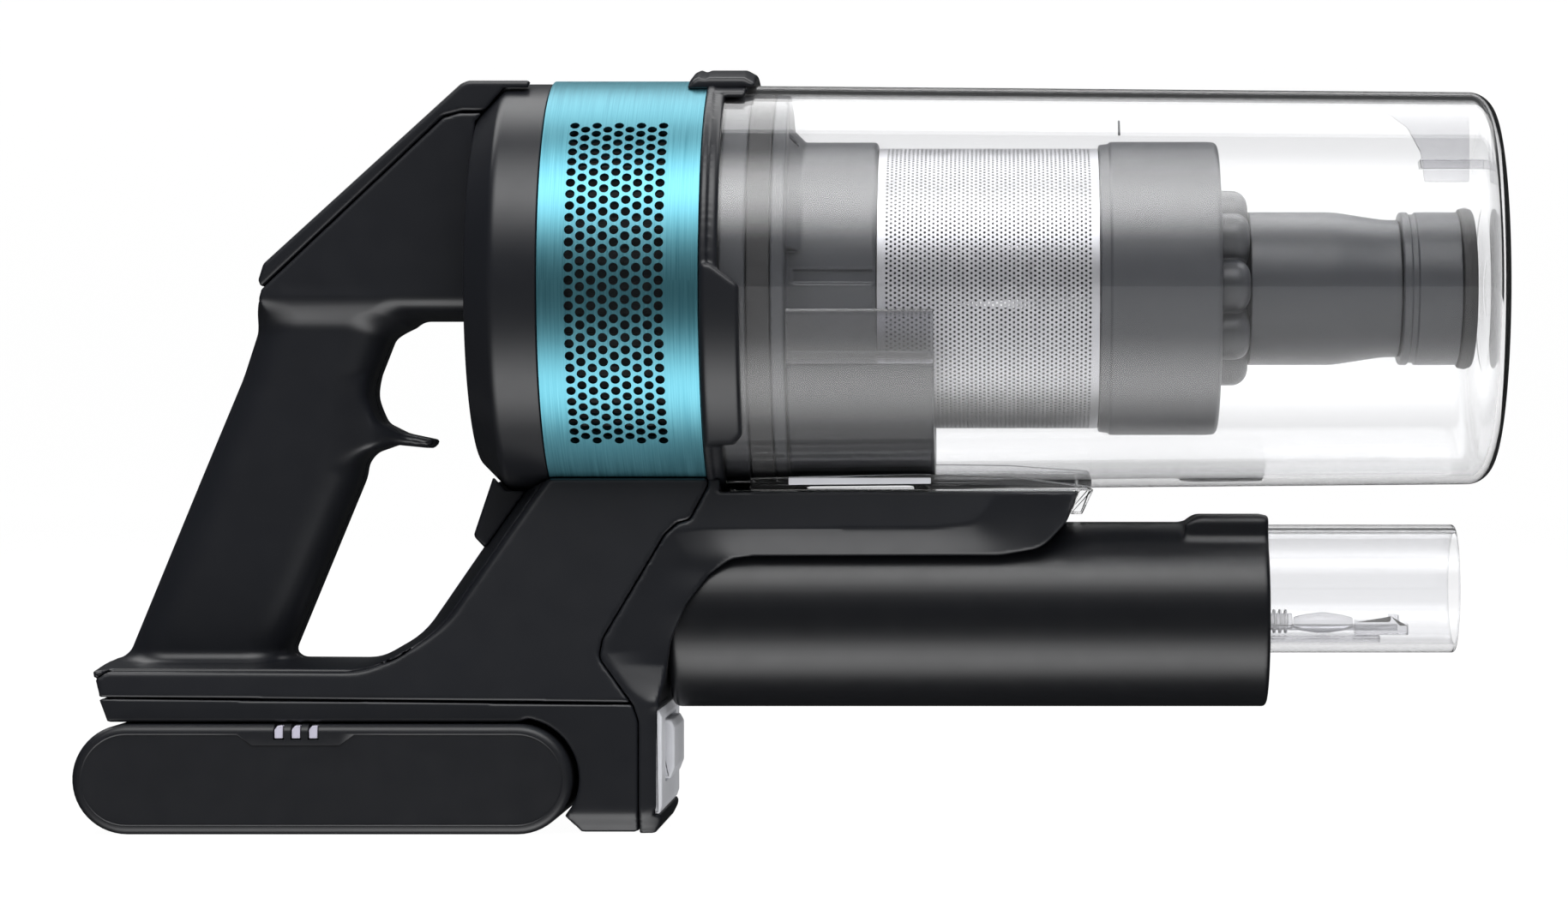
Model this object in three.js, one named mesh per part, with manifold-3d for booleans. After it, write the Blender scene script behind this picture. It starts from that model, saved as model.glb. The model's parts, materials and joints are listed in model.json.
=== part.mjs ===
// A cordless handheld vacuum cleaner: motor unit, see-through dust bin with a cyclone, battery and nozzle tube.
// Millimetres. +X points to the nozzle, +Y to the user's left hand side, +Z up. It stands on its battery and foot.
// The origin is under the middle of the object's box, on the surface that it stands on.
import * as THREE from "three";
import { mergeVertices } from "three/addons/utils/BufferGeometryUtils.js";
import Module from "manifold-3d";

const wasm = await Module();
wasm.setup();

// Driving dimensions
const GAP = 0.3; // clearance between neighbouring pieces
const ROUND = 36; // sides of the large round pieces
const FINE = 14; // sides of the small round pieces
const AXIS_Z = 149.8; // axis of motor, cyclone and bin

// Motor unit, as stations along X and radii about the axis
const CAP_BACK = -87.4;
const CAP_EDGE = -79.5;
const CAP_FRONT = -67;
const CAP_BACK_R = 49;
const CAP_R = 57;
const CAP_WALL = 2.5;
const RING_BACK = -66.7;
const RING_FRONT = -23.7;
const RING_R = 57.8;
const RING_WALL = 1.5;
const COLLAR_BACK = -23.4;
const COLLAR_FRONT = -19.4;
const COLLAR_R = 58.2;
const PAD_R = 60;
const PAD_FRONT = -12.7;
const TAB_FRONT = -10.6;
const TAB_TOP = 210.7;
const BODY_CLEAR_R = RING_R + GAP; // what the arm and bridge leave free round the motor unit

// Bin, wall and ends
const BIN_BACK = -19;
const BIN_SIDE_END = 186;
const BIN_END = 195.3;
const BIN_BACK_R = 56.6;
const BIN_END_R = 54.8;
const BIN_WALL = 2.2;
const BIN_CORNER = 8;
const PORT = { x0: 3, x1: 33, half: 11 }; // the inlet port under the bin

// Cyclone
const FLANGE_R = 53.9;
const NECK_R = 40.8;
const SHROUD_R = 39.1;
const SHROUD_BACK = 23.6;
const SHROUD_FRONT = 84;
const CONE_HOUSING_R = 41;
const CONE_HOUSING_FRONT = 117.3;
const LOBES = 9;
const LOBE_PITCH_R = 20.5;
const LOBE_R = 7;
const DUST_TUBE_R = 21.4;

// Duct and nozzle tube
const DUCT_Z = 58.7;
const DUCT_R = 25.8;
const DUCT_BACK = -34.6;
const DUCT_FRONT = 131.2;
const DUCT_WALL = 2.4;
const HOOD_BACK = 109.4;
const HOOD_TOP = 86.6;
const TUBE_Z = 65.8;
const TUBE_R = 17.9;
const TUBE_BORE_R = 15.7;
const TUBE_BACK = 112;
const TUBE_FRONT = 184;

// Housing widths, each measured from the middle plane
const UPPER_HALF = 20.5;
const GRIP_HALF = 17.5;
const HOOK_HALF = 8;
const BASE_HALF = 34;
const ARM_TOP_HALF = 24.5;
const SADDLE_HALF = 25;
const SADDLE_TOP = 93;
const WALL = 2.4;

// Battery
const BATTERY_HALF = 37;
const BATTERY_BACK = -195.3;
const BATTERY_FRONT = -59.3;
const BATTERY_TOP = 30;
const BATTERY_WALL = 2;
const CELL_R = 10.5;
const CELLS = 6;
const RAIL = { back: -186, front: -72.3, neck: 10.5, head: 13.5, step: 33.9, top: 35.6 };
const RAIL_CLEAR = 0.5;

// Slanted control panel: its top face runs from a low back point to a high front point
const PANEL_LOW = { x: -146, z: 155.9 };
const PANEL_HIGH = { x: -91, z: 205.8 };
const PANEL_ANGLE = Math.atan2(PANEL_HIGH.z - PANEL_LOW.z, PANEL_HIGH.x - PANEL_LOW.x);

// Finishes
const plastic = (color, roughness = 0.5) => new THREE.MeshStandardMaterial({ color, roughness, metalness: 0 });
const metal = (color, roughness = 0.35) => new THREE.MeshStandardMaterial({ color, roughness, metalness: 1 });
const clear = (color) =>
  new THREE.MeshStandardMaterial({ color, roughness: 0.05, metalness: 0, transparent: true, opacity: 0.35 });
const black = plastic(0x232428);
const deepBlack = plastic(0x141518, 0.3);
const teal = metal(0x5ba5b8);
const darkGrey = plastic(0x4c4d51);
const paleGrey = plastic(0xa9abb0);
const steel = metal(0xb8babd);
const copper = metal(0xb46a3c);
const rubber = plastic(0x18191b, 0.8);
const foam = plastic(0x8b8e94, 0.95);
const glass = clear(0xf2f5fa);
const board = plastic(0x1f5b3a);

// A closed geometry as a solid.
function solid(geometry) {
  const bare = geometry.index ? geometry.toNonIndexed() : geometry.clone();
  bare.deleteAttribute("normal");
  bare.deleteAttribute("uv");
  const merged = mergeVertices(bare, 1e-4);
  const triVerts = new Uint32Array(merged.index.array);
  const vertProperties = merged.attributes.position.array;
  const made = new wasm.Manifold(new wasm.Mesh({ numProp: 3, vertProperties, triVerts }));
  if (made.volume() > 0) return made;
  for (let i = 0; i < triVerts.length; i += 3) {
    [triVerts[i + 1], triVerts[i + 2]] = [triVerts[i + 2], triVerts[i + 1]];
  }
  return new wasm.Manifold(new wasm.Mesh({ numProp: 3, vertProperties, triVerts }));
}

// The sum of several solids.
const join = (...solids) => solids.reduce((sum, next) => sum.add(next));

// The first solid less all the others.
const cut = (first, ...others) => others.reduce((rest, next) => rest.subtract(next), first);

function named(name, made, material) {
  const source = made.getMesh();
  const positions = new Float32Array(source.numVert * 3);
  for (let i = 0; i < source.numVert; i += 1) {
    positions.set(source.vertProperties.subarray(i * source.numProp, i * source.numProp + 3), i * 3);
  }
  const geometry = new THREE.BufferGeometry();
  geometry.setAttribute("position", new THREE.BufferAttribute(positions, 3));
  geometry.setIndex(new THREE.BufferAttribute(source.triVerts, 1));
  geometry.computeVertexNormals();
  const mesh = new THREE.Mesh(geometry, material);
  mesh.name = name;
  return mesh;
}

const shapeOf = (outline) => new THREE.Shape(outline.map(([a, b]) => new THREE.Vector2(a, b)));

function extruded(outline, depth) {
  return new THREE.ExtrudeGeometry(shapeOf(outline), { depth, bevelEnabled: false, curveSegments: 8 });
}

// A side outline of [x, z] points, extruded from y0 to y1.
function prism(outline, y0, y1) {
  return solid(extruded(outline, y1 - y0).rotateX(Math.PI / 2).translate(0, y1, 0));
}

// A cross-section of [y, z] points, extruded from x0 to x1.
function section(outline, x0, x1) {
  return solid(extruded(outline, x1 - x0).rotateX(Math.PI / 2).rotateZ(Math.PI / 2).translate(x0, 0, 0));
}

function box(x0, x1, y0, y1, z0, z1) {
  const geometry = new THREE.BoxGeometry(x1 - x0, y1 - y0, z1 - z0);
  return solid(geometry.translate((x0 + x1) / 2, (y0 + y1) / 2, (z0 + z1) / 2));
}

// A closed profile of [x, r] points, turned about a line along X at height z.
function turned(profile, sides = ROUND, z = AXIS_Z) {
  const points = profile.map(([x, r]) => new THREE.Vector2(r, x));
  points.push(points[0].clone());
  const geometry = new THREE.LatheGeometry(points, sides);
  return solid(geometry.rotateZ(-Math.PI / 2).translate(0, 0, z));
}

// A ring or tube about a line along X. An inner radius of 0 gives a full disc.
function tube(x0, x1, outer, inner, sides = ROUND, z = AXIS_Z) {
  return turned([[x0, inner], [x1, inner], [x1, outer], [x0, outer]], sides, z);
}

function disc(x0, x1, radius, sides = ROUND, z = AXIS_Z) {
  const geometry = new THREE.CylinderGeometry(radius, radius, x1 - x0, sides);
  return solid(geometry.rotateZ(-Math.PI / 2).translate((x0 + x1) / 2, 0, z));
}

// A cylinder across the object, along Y.
function crossRod(x, z, y0, y1, radius, sides = FINE) {
  const geometry = new THREE.CylinderGeometry(radius, radius, y1 - y0, sides);
  return solid(geometry.translate(x, (y0 + y1) / 2, z));
}

// Points on a round stretch of an outline, from one angle to another in degrees.
function arc(x, z, radius, from, to, steps) {
  return Array.from({ length: steps + 1 }, (_, i) => {
    const angle = THREE.MathUtils.degToRad(from + ((to - from) * i) / steps);
    return [x + radius * Math.cos(angle), z + radius * Math.sin(angle)];
  });
}

// Places a geometry drawn over the panel: x runs up the slope, y across, and z out of the panel's face.
function onPanel(geometry) {
  return solid(geometry.rotateY(-PANEL_ANGLE).translate(PANEL_LOW.x, 0, PANEL_LOW.z));
}

function panelBlock(along, width, outside, inside, across = 0) {
  const geometry = new THREE.BoxGeometry(along[1] - along[0], width, outside - inside);
  return onPanel(geometry.translate((along[0] + along[1]) / 2, across, (outside + inside) / 2));
}

function panelDisc(along, across, radius, outside, inside) {
  const geometry = new THREE.CylinderGeometry(radius, radius, outside - inside, FINE);
  return onPanel(geometry.rotateX(Math.PI / 2).translate(along, across, (outside + inside) / 2));
}

// Outlines of the housing, all [x, z]
const BASE_BOTTOM = 31.6;
const seamToBracket = [
  [-41.7, 0.3], [-41.7, 30.6], [-43.3, 35.4], [-52.4, 47.6], [-51.9, 52.2],
  [-35.1, 81.5], [-32.6, 84], [-28, 85.8], [-23.4, 94.8],
];
const baseAndArm = [
  [-186.4, BASE_BOTTOM],
  ...arc(-74.3, 15, BASE_BOTTOM - 15, 90, -35, 10),
  [-57.4, 0.3],
  ...seamToBracket,
  [-23.4, 99],
  [-72.4, 99],
  [-103.4, 53.8],
  ...arc(-117.6, 62.4, 16.2, -42, -90, 4),
  [-189.2, 46.3],
  [-190.3, 43.9],
  [-188.4, 36.8],
];
const grip = [
  [-185, 47.5], [-185, 40], [-141, 40], [-140.9, 48.6], [-121.1, 96.8], [-116.7, 127],
  [-113, 135.4], [-109.4, 139.1], [-109.4, 146], [-147, 147], [-147.6, 140.9], [-153.4, 124.8], [-165.3, 96.2],
];
const fingerHook = [
  [-126, 96], [-121.1, 96.8], [-118.9, 101.3], [-116.7, 104.5], [-113.8, 106], [-101.6, 105.3],
  [-100.3, 106.5], [-100.5, 107.8], [-106.4, 109], [-112.3, 110.4], [-116, 113], [-118.2, 116.6], [-118, 121.8],
  [-126, 122],
];
const panelSeam = [[-146.4, 149.2], [-96.5, 196.3], [-92.1, 197.7]];
const bridge = [
  [-147.6, 140.9], [-112, 137.5], [-109.4, 139.1], [-105, 140.4], [-88.2 + 20, 140.7], [-88.2 + 20, 197.4],
  [-92.1, 197.4], [-96.5, 196], [-146.4, 148.9],
];

// Hollows inside the housing, [x, z]
const gripHollow = [
  [-178, 42], [-148, 42], [-146, 48], [-127, 95], [-121, 133], [-117, 150], [-135, 150], [-142, 142], [-158, 97],
];
const bridgeHollow = [[-141, 146], [-118, 143.5], [-93, 143.5], [-93, 193], [-97, 191.5]];
const armHollow = [[-96, 51], [-64, 42], [-60, 49], [-54, 62], [-43, 80], [-38, 88], [-73, 88]];

// Side cover of arm and base, and the parting line above the battery dock, [x, z]
const COVER_THICK = 3;
const DOCK_SEAM = [[-200, 36.9], [-20, 35.1]];
const coverOutline = [
  [-188.3, 37], [-43.7, 35.7], [-52.5, 47.7], [-52, 52.3], [-35.2, 81.7], [-32.8, 84.3], [-28.3, 86.2],
  [-24, 94.6], [-66.6, 94.6], [-95, 55.3], [-104.6, 48.5], [-113.1, 44.9], [-121.7, 43.4], [-189.9, 43.6],
];

// Screws that hold the halves together, [x, z, half width there]
const SCREWS = [[-160, 66, GRIP_HALF], [-132, 134, GRIP_HALF], [-70, 66, 26]];

// Moves an outline's edges outwards by a distance, corners included.
function grown(outline, by) {
  return outline.map(([a, b], i) => {
    const before = outline[(i + outline.length - 1) % outline.length];
    const after = outline[(i + 1) % outline.length];
    const into = new THREE.Vector2(a - before[0], b - before[1]).normalize();
    const out = new THREE.Vector2(after[0] - a, after[1] - b).normalize();
    const normal = new THREE.Vector2(into.y + out.y, -into.x - out.x).normalize();
    const reach = by / (normal.x * out.y - normal.y * out.x);
    return [a + normal.x * reach, b + normal.y * reach];
  });
}

// The space between the sloping side faces of arm and base, less an inset on each side.
function slopedSides(x0, x1, inset = 0) {
  const half = [[BASE_HALF, -1], [BASE_HALF, 37], [ARM_TOP_HALF, 99]].map(([y, z]) => [y - inset, z]);
  const mirrored = half.map(([y, z]) => [-y, z]).reverse();
  return section([...half, ...mirrored], x0, x1);
}

function gripSection() {
  // a rounded section that leans with the grip
  const half = GRIP_HALF;
  const length = 26;
  const shape = new THREE.Shape();
  shape.absellipse(0, 0, length, half + 5, 0, 2 * Math.PI);
  const geometry = new THREE.ExtrudeGeometry(shape, { depth: 190, bevelEnabled: false, curveSegments: 16 });
  return solid(geometry.rotateY(Math.atan2(46, 115)).translate(-184, 0, 0));
}

// The space round the motor unit that the housing leaves free.
const aroundMotor = (radius) =>
  turned([
    [CAP_BACK - GAP, 0], [0, 0], [0, radius], [CAP_EDGE - GAP, radius], [CAP_BACK - GAP, CAP_BACK_R + GAP],
  ]);

const railSlot = () =>
  join(
    box(-200, RAIL.front + 2, -RAIL.neck - RAIL_CLEAR, RAIL.neck + RAIL_CLEAR, 20, RAIL.step),
    box(-200, RAIL.front + 2, -RAIL.head - RAIL_CLEAR, RAIL.head + RAIL_CLEAR, RAIL.step - RAIL_CLEAR, 36.2),
  );

const lowerBlank = () => prism(baseAndArm, -BASE_HALF, BASE_HALF).intersect(slopedSides(-200, 0));

function dock(parent) {
  const below = prism([[-200, -5], [-20, -5], DOCK_SEAM[1], DOCK_SEAM[0]], -50, 50);
  const footHollow = box(-55, -46, -29, 29, 6, 50);
  const terminalSeat = box(-70.4, -60, -16, 16, 33.2, 50);
  const made = cut(lowerBlank().intersect(below), railSlot(), footHollow, terminalSeat);
  parent.add(named("battery_dock", made, black));
}

function armCovers(parent) {
  const skin = cut(slopedSides(-200, 0), slopedSides(-201, 1, COVER_THICK));
  const both = cut(prism(coverOutline, -50, 50).intersect(skin), disc(-200, 0, BODY_CLEAR_R));
  parent.add(named("arm_cover_left", both.intersect(box(-250, 50, 0, 60, 0, 150)), black));
  parent.add(named("arm_cover_right", both.intersect(box(-250, 50, -60, 0, 0, 150)), black));
}

function housing() {
  const aboveDock = prism([[-200, 36.9 + GAP], [-20, 35.1 + GAP], [-20, 150], [-200, 150]], -50, 50);
  const coverSeat = cut(prism(grown(coverOutline, GAP), -50, 50), slopedSides(-201, 1, COVER_THICK + GAP));
  const lower = cut(lowerBlank().intersect(aboveDock), coverSeat);
  const handle = prism(grip, -GRIP_HALF, GRIP_HALF).intersect(gripSection());
  const hook = prism(fingerHook, -HOOK_HALF, HOOK_HALF);
  const upper = prism(bridge, -UPPER_HALF, UPPER_HALF);
  const outside = join(lower, handle, hook, upper);
  const hollows = join(
    prism(gripHollow, -GRIP_HALF + WALL + 2, GRIP_HALF - WALL - 2),
    prism(bridgeHollow, -UPPER_HALF + WALL, UPPER_HALF - WALL),
    prism(armHollow, -19, 19),
    box(-183, -62, -27, 27, 38.6, 43.6),
    box(-70.4, -60, -16, 16, 33.2, 43.6),
  );
  const underPanel = panelBlock([6, 67], 34, 4, -17);
  const bosses = SCREWS.map(([x, z, half]) => crossRod(x, z, -half + 1, half - 1, 4.2, 16));
  const holes = SCREWS.map(([x, z, half]) =>
    join(crossRod(x, z, -half + 6, half + 10, 1.9, 16), crossRod(x, z, half - 4, half + 10, 3.6, 16)),
  );
  const blank = join(cut(outside, hollows), ...bosses);
  return cut(blank, underPanel, railSlot(), ...holes, aroundMotor(BODY_CLEAR_R));
}

function housingHalves(parent) {
  const whole = housing();
  const far = 100;
  const leftSide = box(-250, 100, GAP / 2, far, -10, 250);
  const rightSide = box(-250, 100, -far, -GAP / 2, -10, 250);
  parent.add(named("housing_left", whole.intersect(leftSide), black));
  parent.add(named("housing_right", whole.intersect(rightSide), black));
  SCREWS.forEach(([x, z, half], i) => {
    const shank = crossRod(x, z, -half + 7, half - 3.8, 1.5, 10);
    const head = crossRod(x, z, half - 3.8, half - 1.8, 3.1, 10);
    parent.add(named("housing_screw_" + (i + 1), join(shank, head), steel));
  });
}

// Buttons and window on the panel: along the slope, across, size
const POWER = { along: 15, across: 0, radius: 6.5 };
const STEP_BUTTONS = [["plus_button", -8], ["minus_button", 8]];
const STEP_ALONG = 30;
const STEP_RADIUS = 4.2;
const DISPLAY = { along: [38, 66], width: 30, depth: 1.4 };
const BUTTON_PROUD = 0.8;
const BUTTON_DEPTH = 5.2;

function controlPanel(parent) {
  const outline = [
    [-146.7, 149.5], ...panelSeam.map(([x, z]) => [x, z + GAP]), [-68, 198], [-68, 206.4],
    [-89.5, 206.4], [PANEL_HIGH.x, PANEL_HIGH.z], [PANEL_LOW.x, PANEL_LOW.z], [-147.4, 151.9],
  ];
  const slab = prism(outline, -UPPER_HALF, UPPER_HALF);
  const seats = join(
    panelDisc(POWER.along, POWER.across, POWER.radius + GAP, 5, -12),
    ...STEP_BUTTONS.map(([, across]) => panelDisc(STEP_ALONG, across, STEP_RADIUS + GAP, 5, -12)),
    panelBlock([DISPLAY.along[0] - GAP, DISPLAY.along[1] + GAP], DISPLAY.width + 2 * GAP, 5, -DISPLAY.depth - GAP),
  );
  const panel = cut(slab, seats, aroundMotor(CAP_R + GAP), box(-72.8, 0, -60, 60, 100, 250));
  parent.add(named("control_panel", panel, black));
  parent.add(named("display_window", panelBlock(DISPLAY.along, DISPLAY.width, 0, -DISPLAY.depth), deepBlack));
  const boardPlate = panelBlock([10, 62], 30, -9.5, -11.1);
  parent.add(named("control_board", boardPlate, board));
}

function buttons(parent) {
  const power = panelDisc(POWER.along, POWER.across, POWER.radius, BUTTON_PROUD, -BUTTON_DEPTH);
  parent.add(named("power_button", power, black));
  STEP_BUTTONS.forEach(([name, across]) => {
    parent.add(named(name, panelDisc(STEP_ALONG, across, STEP_RADIUS, BUTTON_PROUD, -BUTTON_DEPTH), black));
  });
}

function rearCap(parent) {
  const outer = turned([
    [CAP_BACK, 0], [CAP_FRONT, 0], [CAP_FRONT, CAP_R], [CAP_EDGE, CAP_R], [CAP_BACK, CAP_BACK_R],
  ]);
  const inner = turned([
    [CAP_BACK + CAP_WALL, 0], [0, 0], [0, CAP_R - CAP_WALL], [CAP_EDGE, CAP_R - CAP_WALL],
    [CAP_BACK + CAP_WALL, CAP_BACK_R - CAP_WALL],
  ]);
  const seat = tube(CAP_BACK + 1, -80, 24.3, 21.3, 32);
  const cable = box(CAP_BACK - 1, CAP_BACK + 4, -6, 6, AXIS_Z + 8, AXIS_Z + 16);
  parent.add(named("rear_cap", cut(join(cut(outer, inner), seat), cable), black));
}

function motor(parent) {
  parent.add(named("vent_ring", tube(RING_BACK, RING_FRONT, RING_R, RING_R - RING_WALL), teal));
  const pleats = Array.from({ length: 72 }, (_, i) => {
    const angle = (Math.PI * 2 * i) / 72;
    const radius = i % 2 ? 54 : 50.5;
    return [radius * Math.cos(angle), AXIS_Z + radius * Math.sin(angle)];
  });
  const filter = cut(section(pleats, -64, -27), disc(-70, -20, 45, ROUND));
  parent.add(named("exhaust_filter", filter, foam));
  const shell = cut(disc(-78, -31, 30), disc(-76.4, -20, 28.4), disc(-80, -60, 8.6, FINE));
  const vents = Array.from({ length: 6 }, (_, i) => {
    const hole = new THREE.CylinderGeometry(4.2, 4.2, 8, 6).rotateZ(Math.PI / 2).translate(-77, 0, 19.5);
    return solid(hole.rotateX((Math.PI * 2 * i) / 6).translate(0, 0, AXIS_Z));
  });
  parent.add(named("motor_shell", cut(shell, ...vents), steel));
  const slots = Array.from({ length: 6 }, (_, i) => {
    const slot = new THREE.BoxGeometry(30, 5, 9).translate(-57, 0, 17.5);
    return solid(slot.rotateX((Math.PI * 2 * i) / 6).translate(0, 0, AXIS_Z));
  });
  parent.add(named("stator", cut(tube(-68, -46, 28, 9.8), ...slots), copper));
  parent.add(named("motor_bearing_rear", tube(-75.8, -71.2, 8.3, 2.8, FINE), steel));
  parent.add(named("motor_bearing_front", tube(-41.8, -37.2, 8.3, 2.8, FINE), steel));
  const plate = cut(disc(-43.8, -35, 28.1), disc(-42.1, -30, 8.6, FINE), disc(-50, -30, 4, FINE));
  const vaneSlots = Array.from({ length: 12 }, (_, i) => {
    const slot = new THREE.BoxGeometry(20, 3.4, 10).translate(-40, 0, 20.5);
    return solid(slot.rotateX((Math.PI * 2 * i) / 12).translate(0, 0, AXIS_Z));
  });
  parent.add(named("motor_diffuser", cut(plate, ...vaneSlots), darkGrey));
  parent.add(named("motor_mount_rear", tube(-84.4, -78.3, 21, 14, 32), rubber));
  parent.add(named("motor_mount_front", tube(-37, -27.5, 44.6, 30.3), rubber));
}

function rotor(parent) {
  const shaft = turned([
    [-81, 0], [-22, 0], [-22, 2.5], [-46.8, 2.5], [-46.8, 9.2], [-67.2, 9.2], [-67.2, 2.5], [-81, 2.5],
  ], FINE);
  parent.add(named("rotor_shaft", shaft, steel));
  const hub = turned([[-33.8, 2.8], [-23.5, 2.8], [-23.5, 6.5], [-31.6, 20], [-31.6, 26], [-33.8, 26]], 32);
  const blades = Array.from({ length: 9 }, (_, i) => {
    const blade = prism([[-32.6, 4], [-24.2, 4], [-24.2, 14], [-29.4, 26], [-32.6, 26]], -0.7, 0.7);
    const mesh = named("", blade, steel);
    mesh.geometry.rotateX((Math.PI * 2 * i) / 9).translate(0, 0, AXIS_Z);
    return solid(mesh.geometry);
  });
  parent.add(named("impeller", join(hub, ...blades), steel));
}

// Points of a ring sector about the axis, [y, z], from one angle to another measured from +Y.
function sector(inner, outer, from, to, steps) {
  return [...arc(0, AXIS_Z, outer, from, to, steps), ...arc(0, AXIS_Z, inner, to, from, steps)];
}

function collar(parent) {
  const plate = tube(COLLAR_BACK, COLLAR_FRONT, COLLAR_R, 36);
  const rim = BIN_BACK_R + 0.4;
  const sidePads = [[178, 228], [-48, 2]].map(([from, to]) =>
    section(sector(rim, PAD_R, from, to, 8), COLLAR_BACK + 0.5, PAD_FRONT),
  );
  const holder = section(sector(rim, COLLAR_R, 60, 120, 8), COLLAR_BACK + 0.5, TAB_FRONT - 3);
  parent.add(named("collar", join(plate, ...sidePads, holder), black));
  const latch = prism(
    [[-28.2, 208.3], [TAB_FRONT - 0.4, 208.3], [TAB_FRONT, 209.6], [-13.5, TAB_TOP], [-26.6, TAB_TOP]], -21, 21,
  );
  parent.add(named("top_latch", latch, black));
}

// Front bracket: saddle under the bin, strip down to the foot
const bracketOutline = [
  [-41.4, 0], [-37.2, 0], [-35.6, 2.4], [-35.2, 5.1], [-37.5, 5.1], [-37.5, 33.9], [-34.9, 41], [-34.9, 60],
  [-20, 70], [60, 70],
  [66.7, 77.3], [71.9, 80.5], [78, SADDLE_TOP], [-20, SADDLE_TOP], [-20, 98], [-23.1, 98], [-23.1, 94.5],
  [-27.7, 85.8], [-32.3, 84], [-34.8, 81.5], [-51.6, 52.2], [-52.1, 47.6], [-43, 35.4], [-41.4, 30.6],
];
const GASKET = { x0: PORT.x0 - 3, x1: PORT.x1 + 3, half: PORT.half + 3, depth: 2 };
const PLATE = { back: -37.2, front: -35.2, low: 5.4, high: 33.6, half: 32 };
const BUTTON = { front: -32.8, back: -39.5, low: 14, high: 30, half: 18 };

function frontBracket(parent) {
  const foot = prism(bracketOutline, -BASE_HALF, BASE_HALF).intersect(slopedSides(-60, -20));
  const saddle = prism(bracketOutline, -SADDLE_HALF, SADDLE_HALF);
  const low = box(-60, -22, -60, 60, -1, 99);
  const blank = join(foot.intersect(low), cut(saddle, low));
  const duct = disc(DUCT_BACK - GAP, 200, DUCT_R + GAP, ROUND, DUCT_Z);
  const motorUnit = disc(-120, -19.1, COLLAR_R + GAP);
  const port = box(PORT.x0, PORT.x1, -PORT.half, PORT.half, 60, 120);
  const lightening = prism([[-46, 50], [-38, 44], [-30, 44], [-18, 70], [-18, 82], [-30, 78.5]], -22, 22);
  const gasketSeat = box(GASKET.x0 - GAP, GASKET.x1 + GAP, -GASKET.half - GAP, GASKET.half + GAP,
    SADDLE_TOP - GASKET.depth - GAP, 120);
  const buttonSeat = box(BUTTON.back - 3.4, 0, -BUTTON.half - 1, BUTTON.half + 1, BUTTON.low - 1, BUTTON.high + 1);
  parent.add(named("front_bracket",
    cut(blank, duct, motorUnit, port, lightening, gasketSeat, buttonSeat), black));
  const outer = box(GASKET.x0, GASKET.x1, -GASKET.half, GASKET.half, SADDLE_TOP - GASKET.depth, SADDLE_TOP - 0.1);
  parent.add(named("inlet_gasket", cut(outer, port), rubber));
}

function footPlate(parent) {
  const blank = prism(
    [
      [PLATE.back, PLATE.low], [PLATE.front - 0.8, PLATE.low], [PLATE.front, PLATE.low + 1.4],
      [PLATE.front, PLATE.high - 1.2], [PLATE.front - 0.8, PLATE.high], [PLATE.back, PLATE.high],
    ],
    -PLATE.half, PLATE.half,
  );
  const seat = box(-60, 0, -BUTTON.half - 0.5, BUTTON.half + 0.5, BUTTON.low - 0.5, BUTTON.high + 0.5);
  parent.add(named("charge_plate", cut(blank, seat), paleGrey));
}

function releaseButton(parent) {
  const pad = prism(
    [
      [PLATE.back + 1, BUTTON.low], [BUTTON.front - 1, BUTTON.low], [BUTTON.front, BUTTON.low + 1.4],
      [BUTTON.front, BUTTON.high - 2.4], [BUTTON.front - 1.4, BUTTON.high], [PLATE.back + 1, BUTTON.high],
    ],
    -BUTTON.half, BUTTON.half,
  );
  const stem = disc(BUTTON.back + 0.6, PLATE.back + 1.5, 3, FINE, 22);
  parent.add(named("battery_release_button", join(pad, stem), paleGrey));
}

function duct(parent) {
  const blank = disc(DUCT_BACK, DUCT_FRONT, DUCT_R, ROUND, DUCT_Z);
  const slant = prism(
    [
      [-60, 20], [-31.8, 20], [-33.4, 36], [DUCT_BACK + GAP, 42], [-32.9, 52.5], [-28.5, 62.4], [-22.5, 70.3],
      [-17.6, 74.1], [-12, 86], [-60, 86],
    ],
    -40, 40,
  );
  const hood = section([
    [-15, 60], [15, 60], [15, 82], [12, HOOD_TOP], [-12, HOOD_TOP], [-15, 82],
  ], HOOD_BACK, DUCT_FRONT);
  const inside = join(
    disc(DUCT_BACK + 12, TUBE_BACK - 3, DUCT_R - DUCT_WALL, ROUND, DUCT_Z),
    disc(TUBE_BACK + 2, DUCT_FRONT - 3, DUCT_R - DUCT_WALL, ROUND, DUCT_Z),
    disc(TUBE_BACK - 4, 200, TUBE_R + GAP, ROUND, TUBE_Z),
  );
  const port = box(PORT.x0, PORT.x1, -PORT.half, PORT.half, DUCT_Z, 120);
  const hoodSlope = prism([[90, 84.6], [HOOD_BACK, 84.6], [HOOD_BACK + 2.6, 90], [90, 90]], -40, 40);
  parent.add(named("intake_duct", cut(join(blank, cut(hood, hoodSlope)), slant, inside, port), black));
}

function nozzleTube(parent) {
  parent.add(named("nozzle_tube", tube(TUBE_BACK, TUBE_FRONT, TUBE_R, TUBE_BORE_R, ROUND, TUBE_Z), glass));
  const carrier = join(
    box(118, 163, -4.5, 4.5, 51.4, 53.2),
    box(118, 137, -4.5, 4.5, 51.4, 57.5),
    box(156, 170, -4.5, 4.5, 51.4, 56.5),
  );
  const socket = disc(130, 180, 1.3, 12, 55);
  parent.add(named("contact_carrier", cut(carrier, socket), glass));
  parent.add(named("contact_pin", disc(132, 168, 0.9, 12, 55), steel));
}

function terminals(parent) {
  const body = box(-69.8, -62.5, -14, 14, 34, 42.8);
  const blades = [-8, 0, 8].map((y) => box(-79, -69, y - 0.7, y + 0.7, 34.2, 34.9));
  parent.add(named("terminal_block", join(body, ...blades), darkGrey));
}

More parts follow.
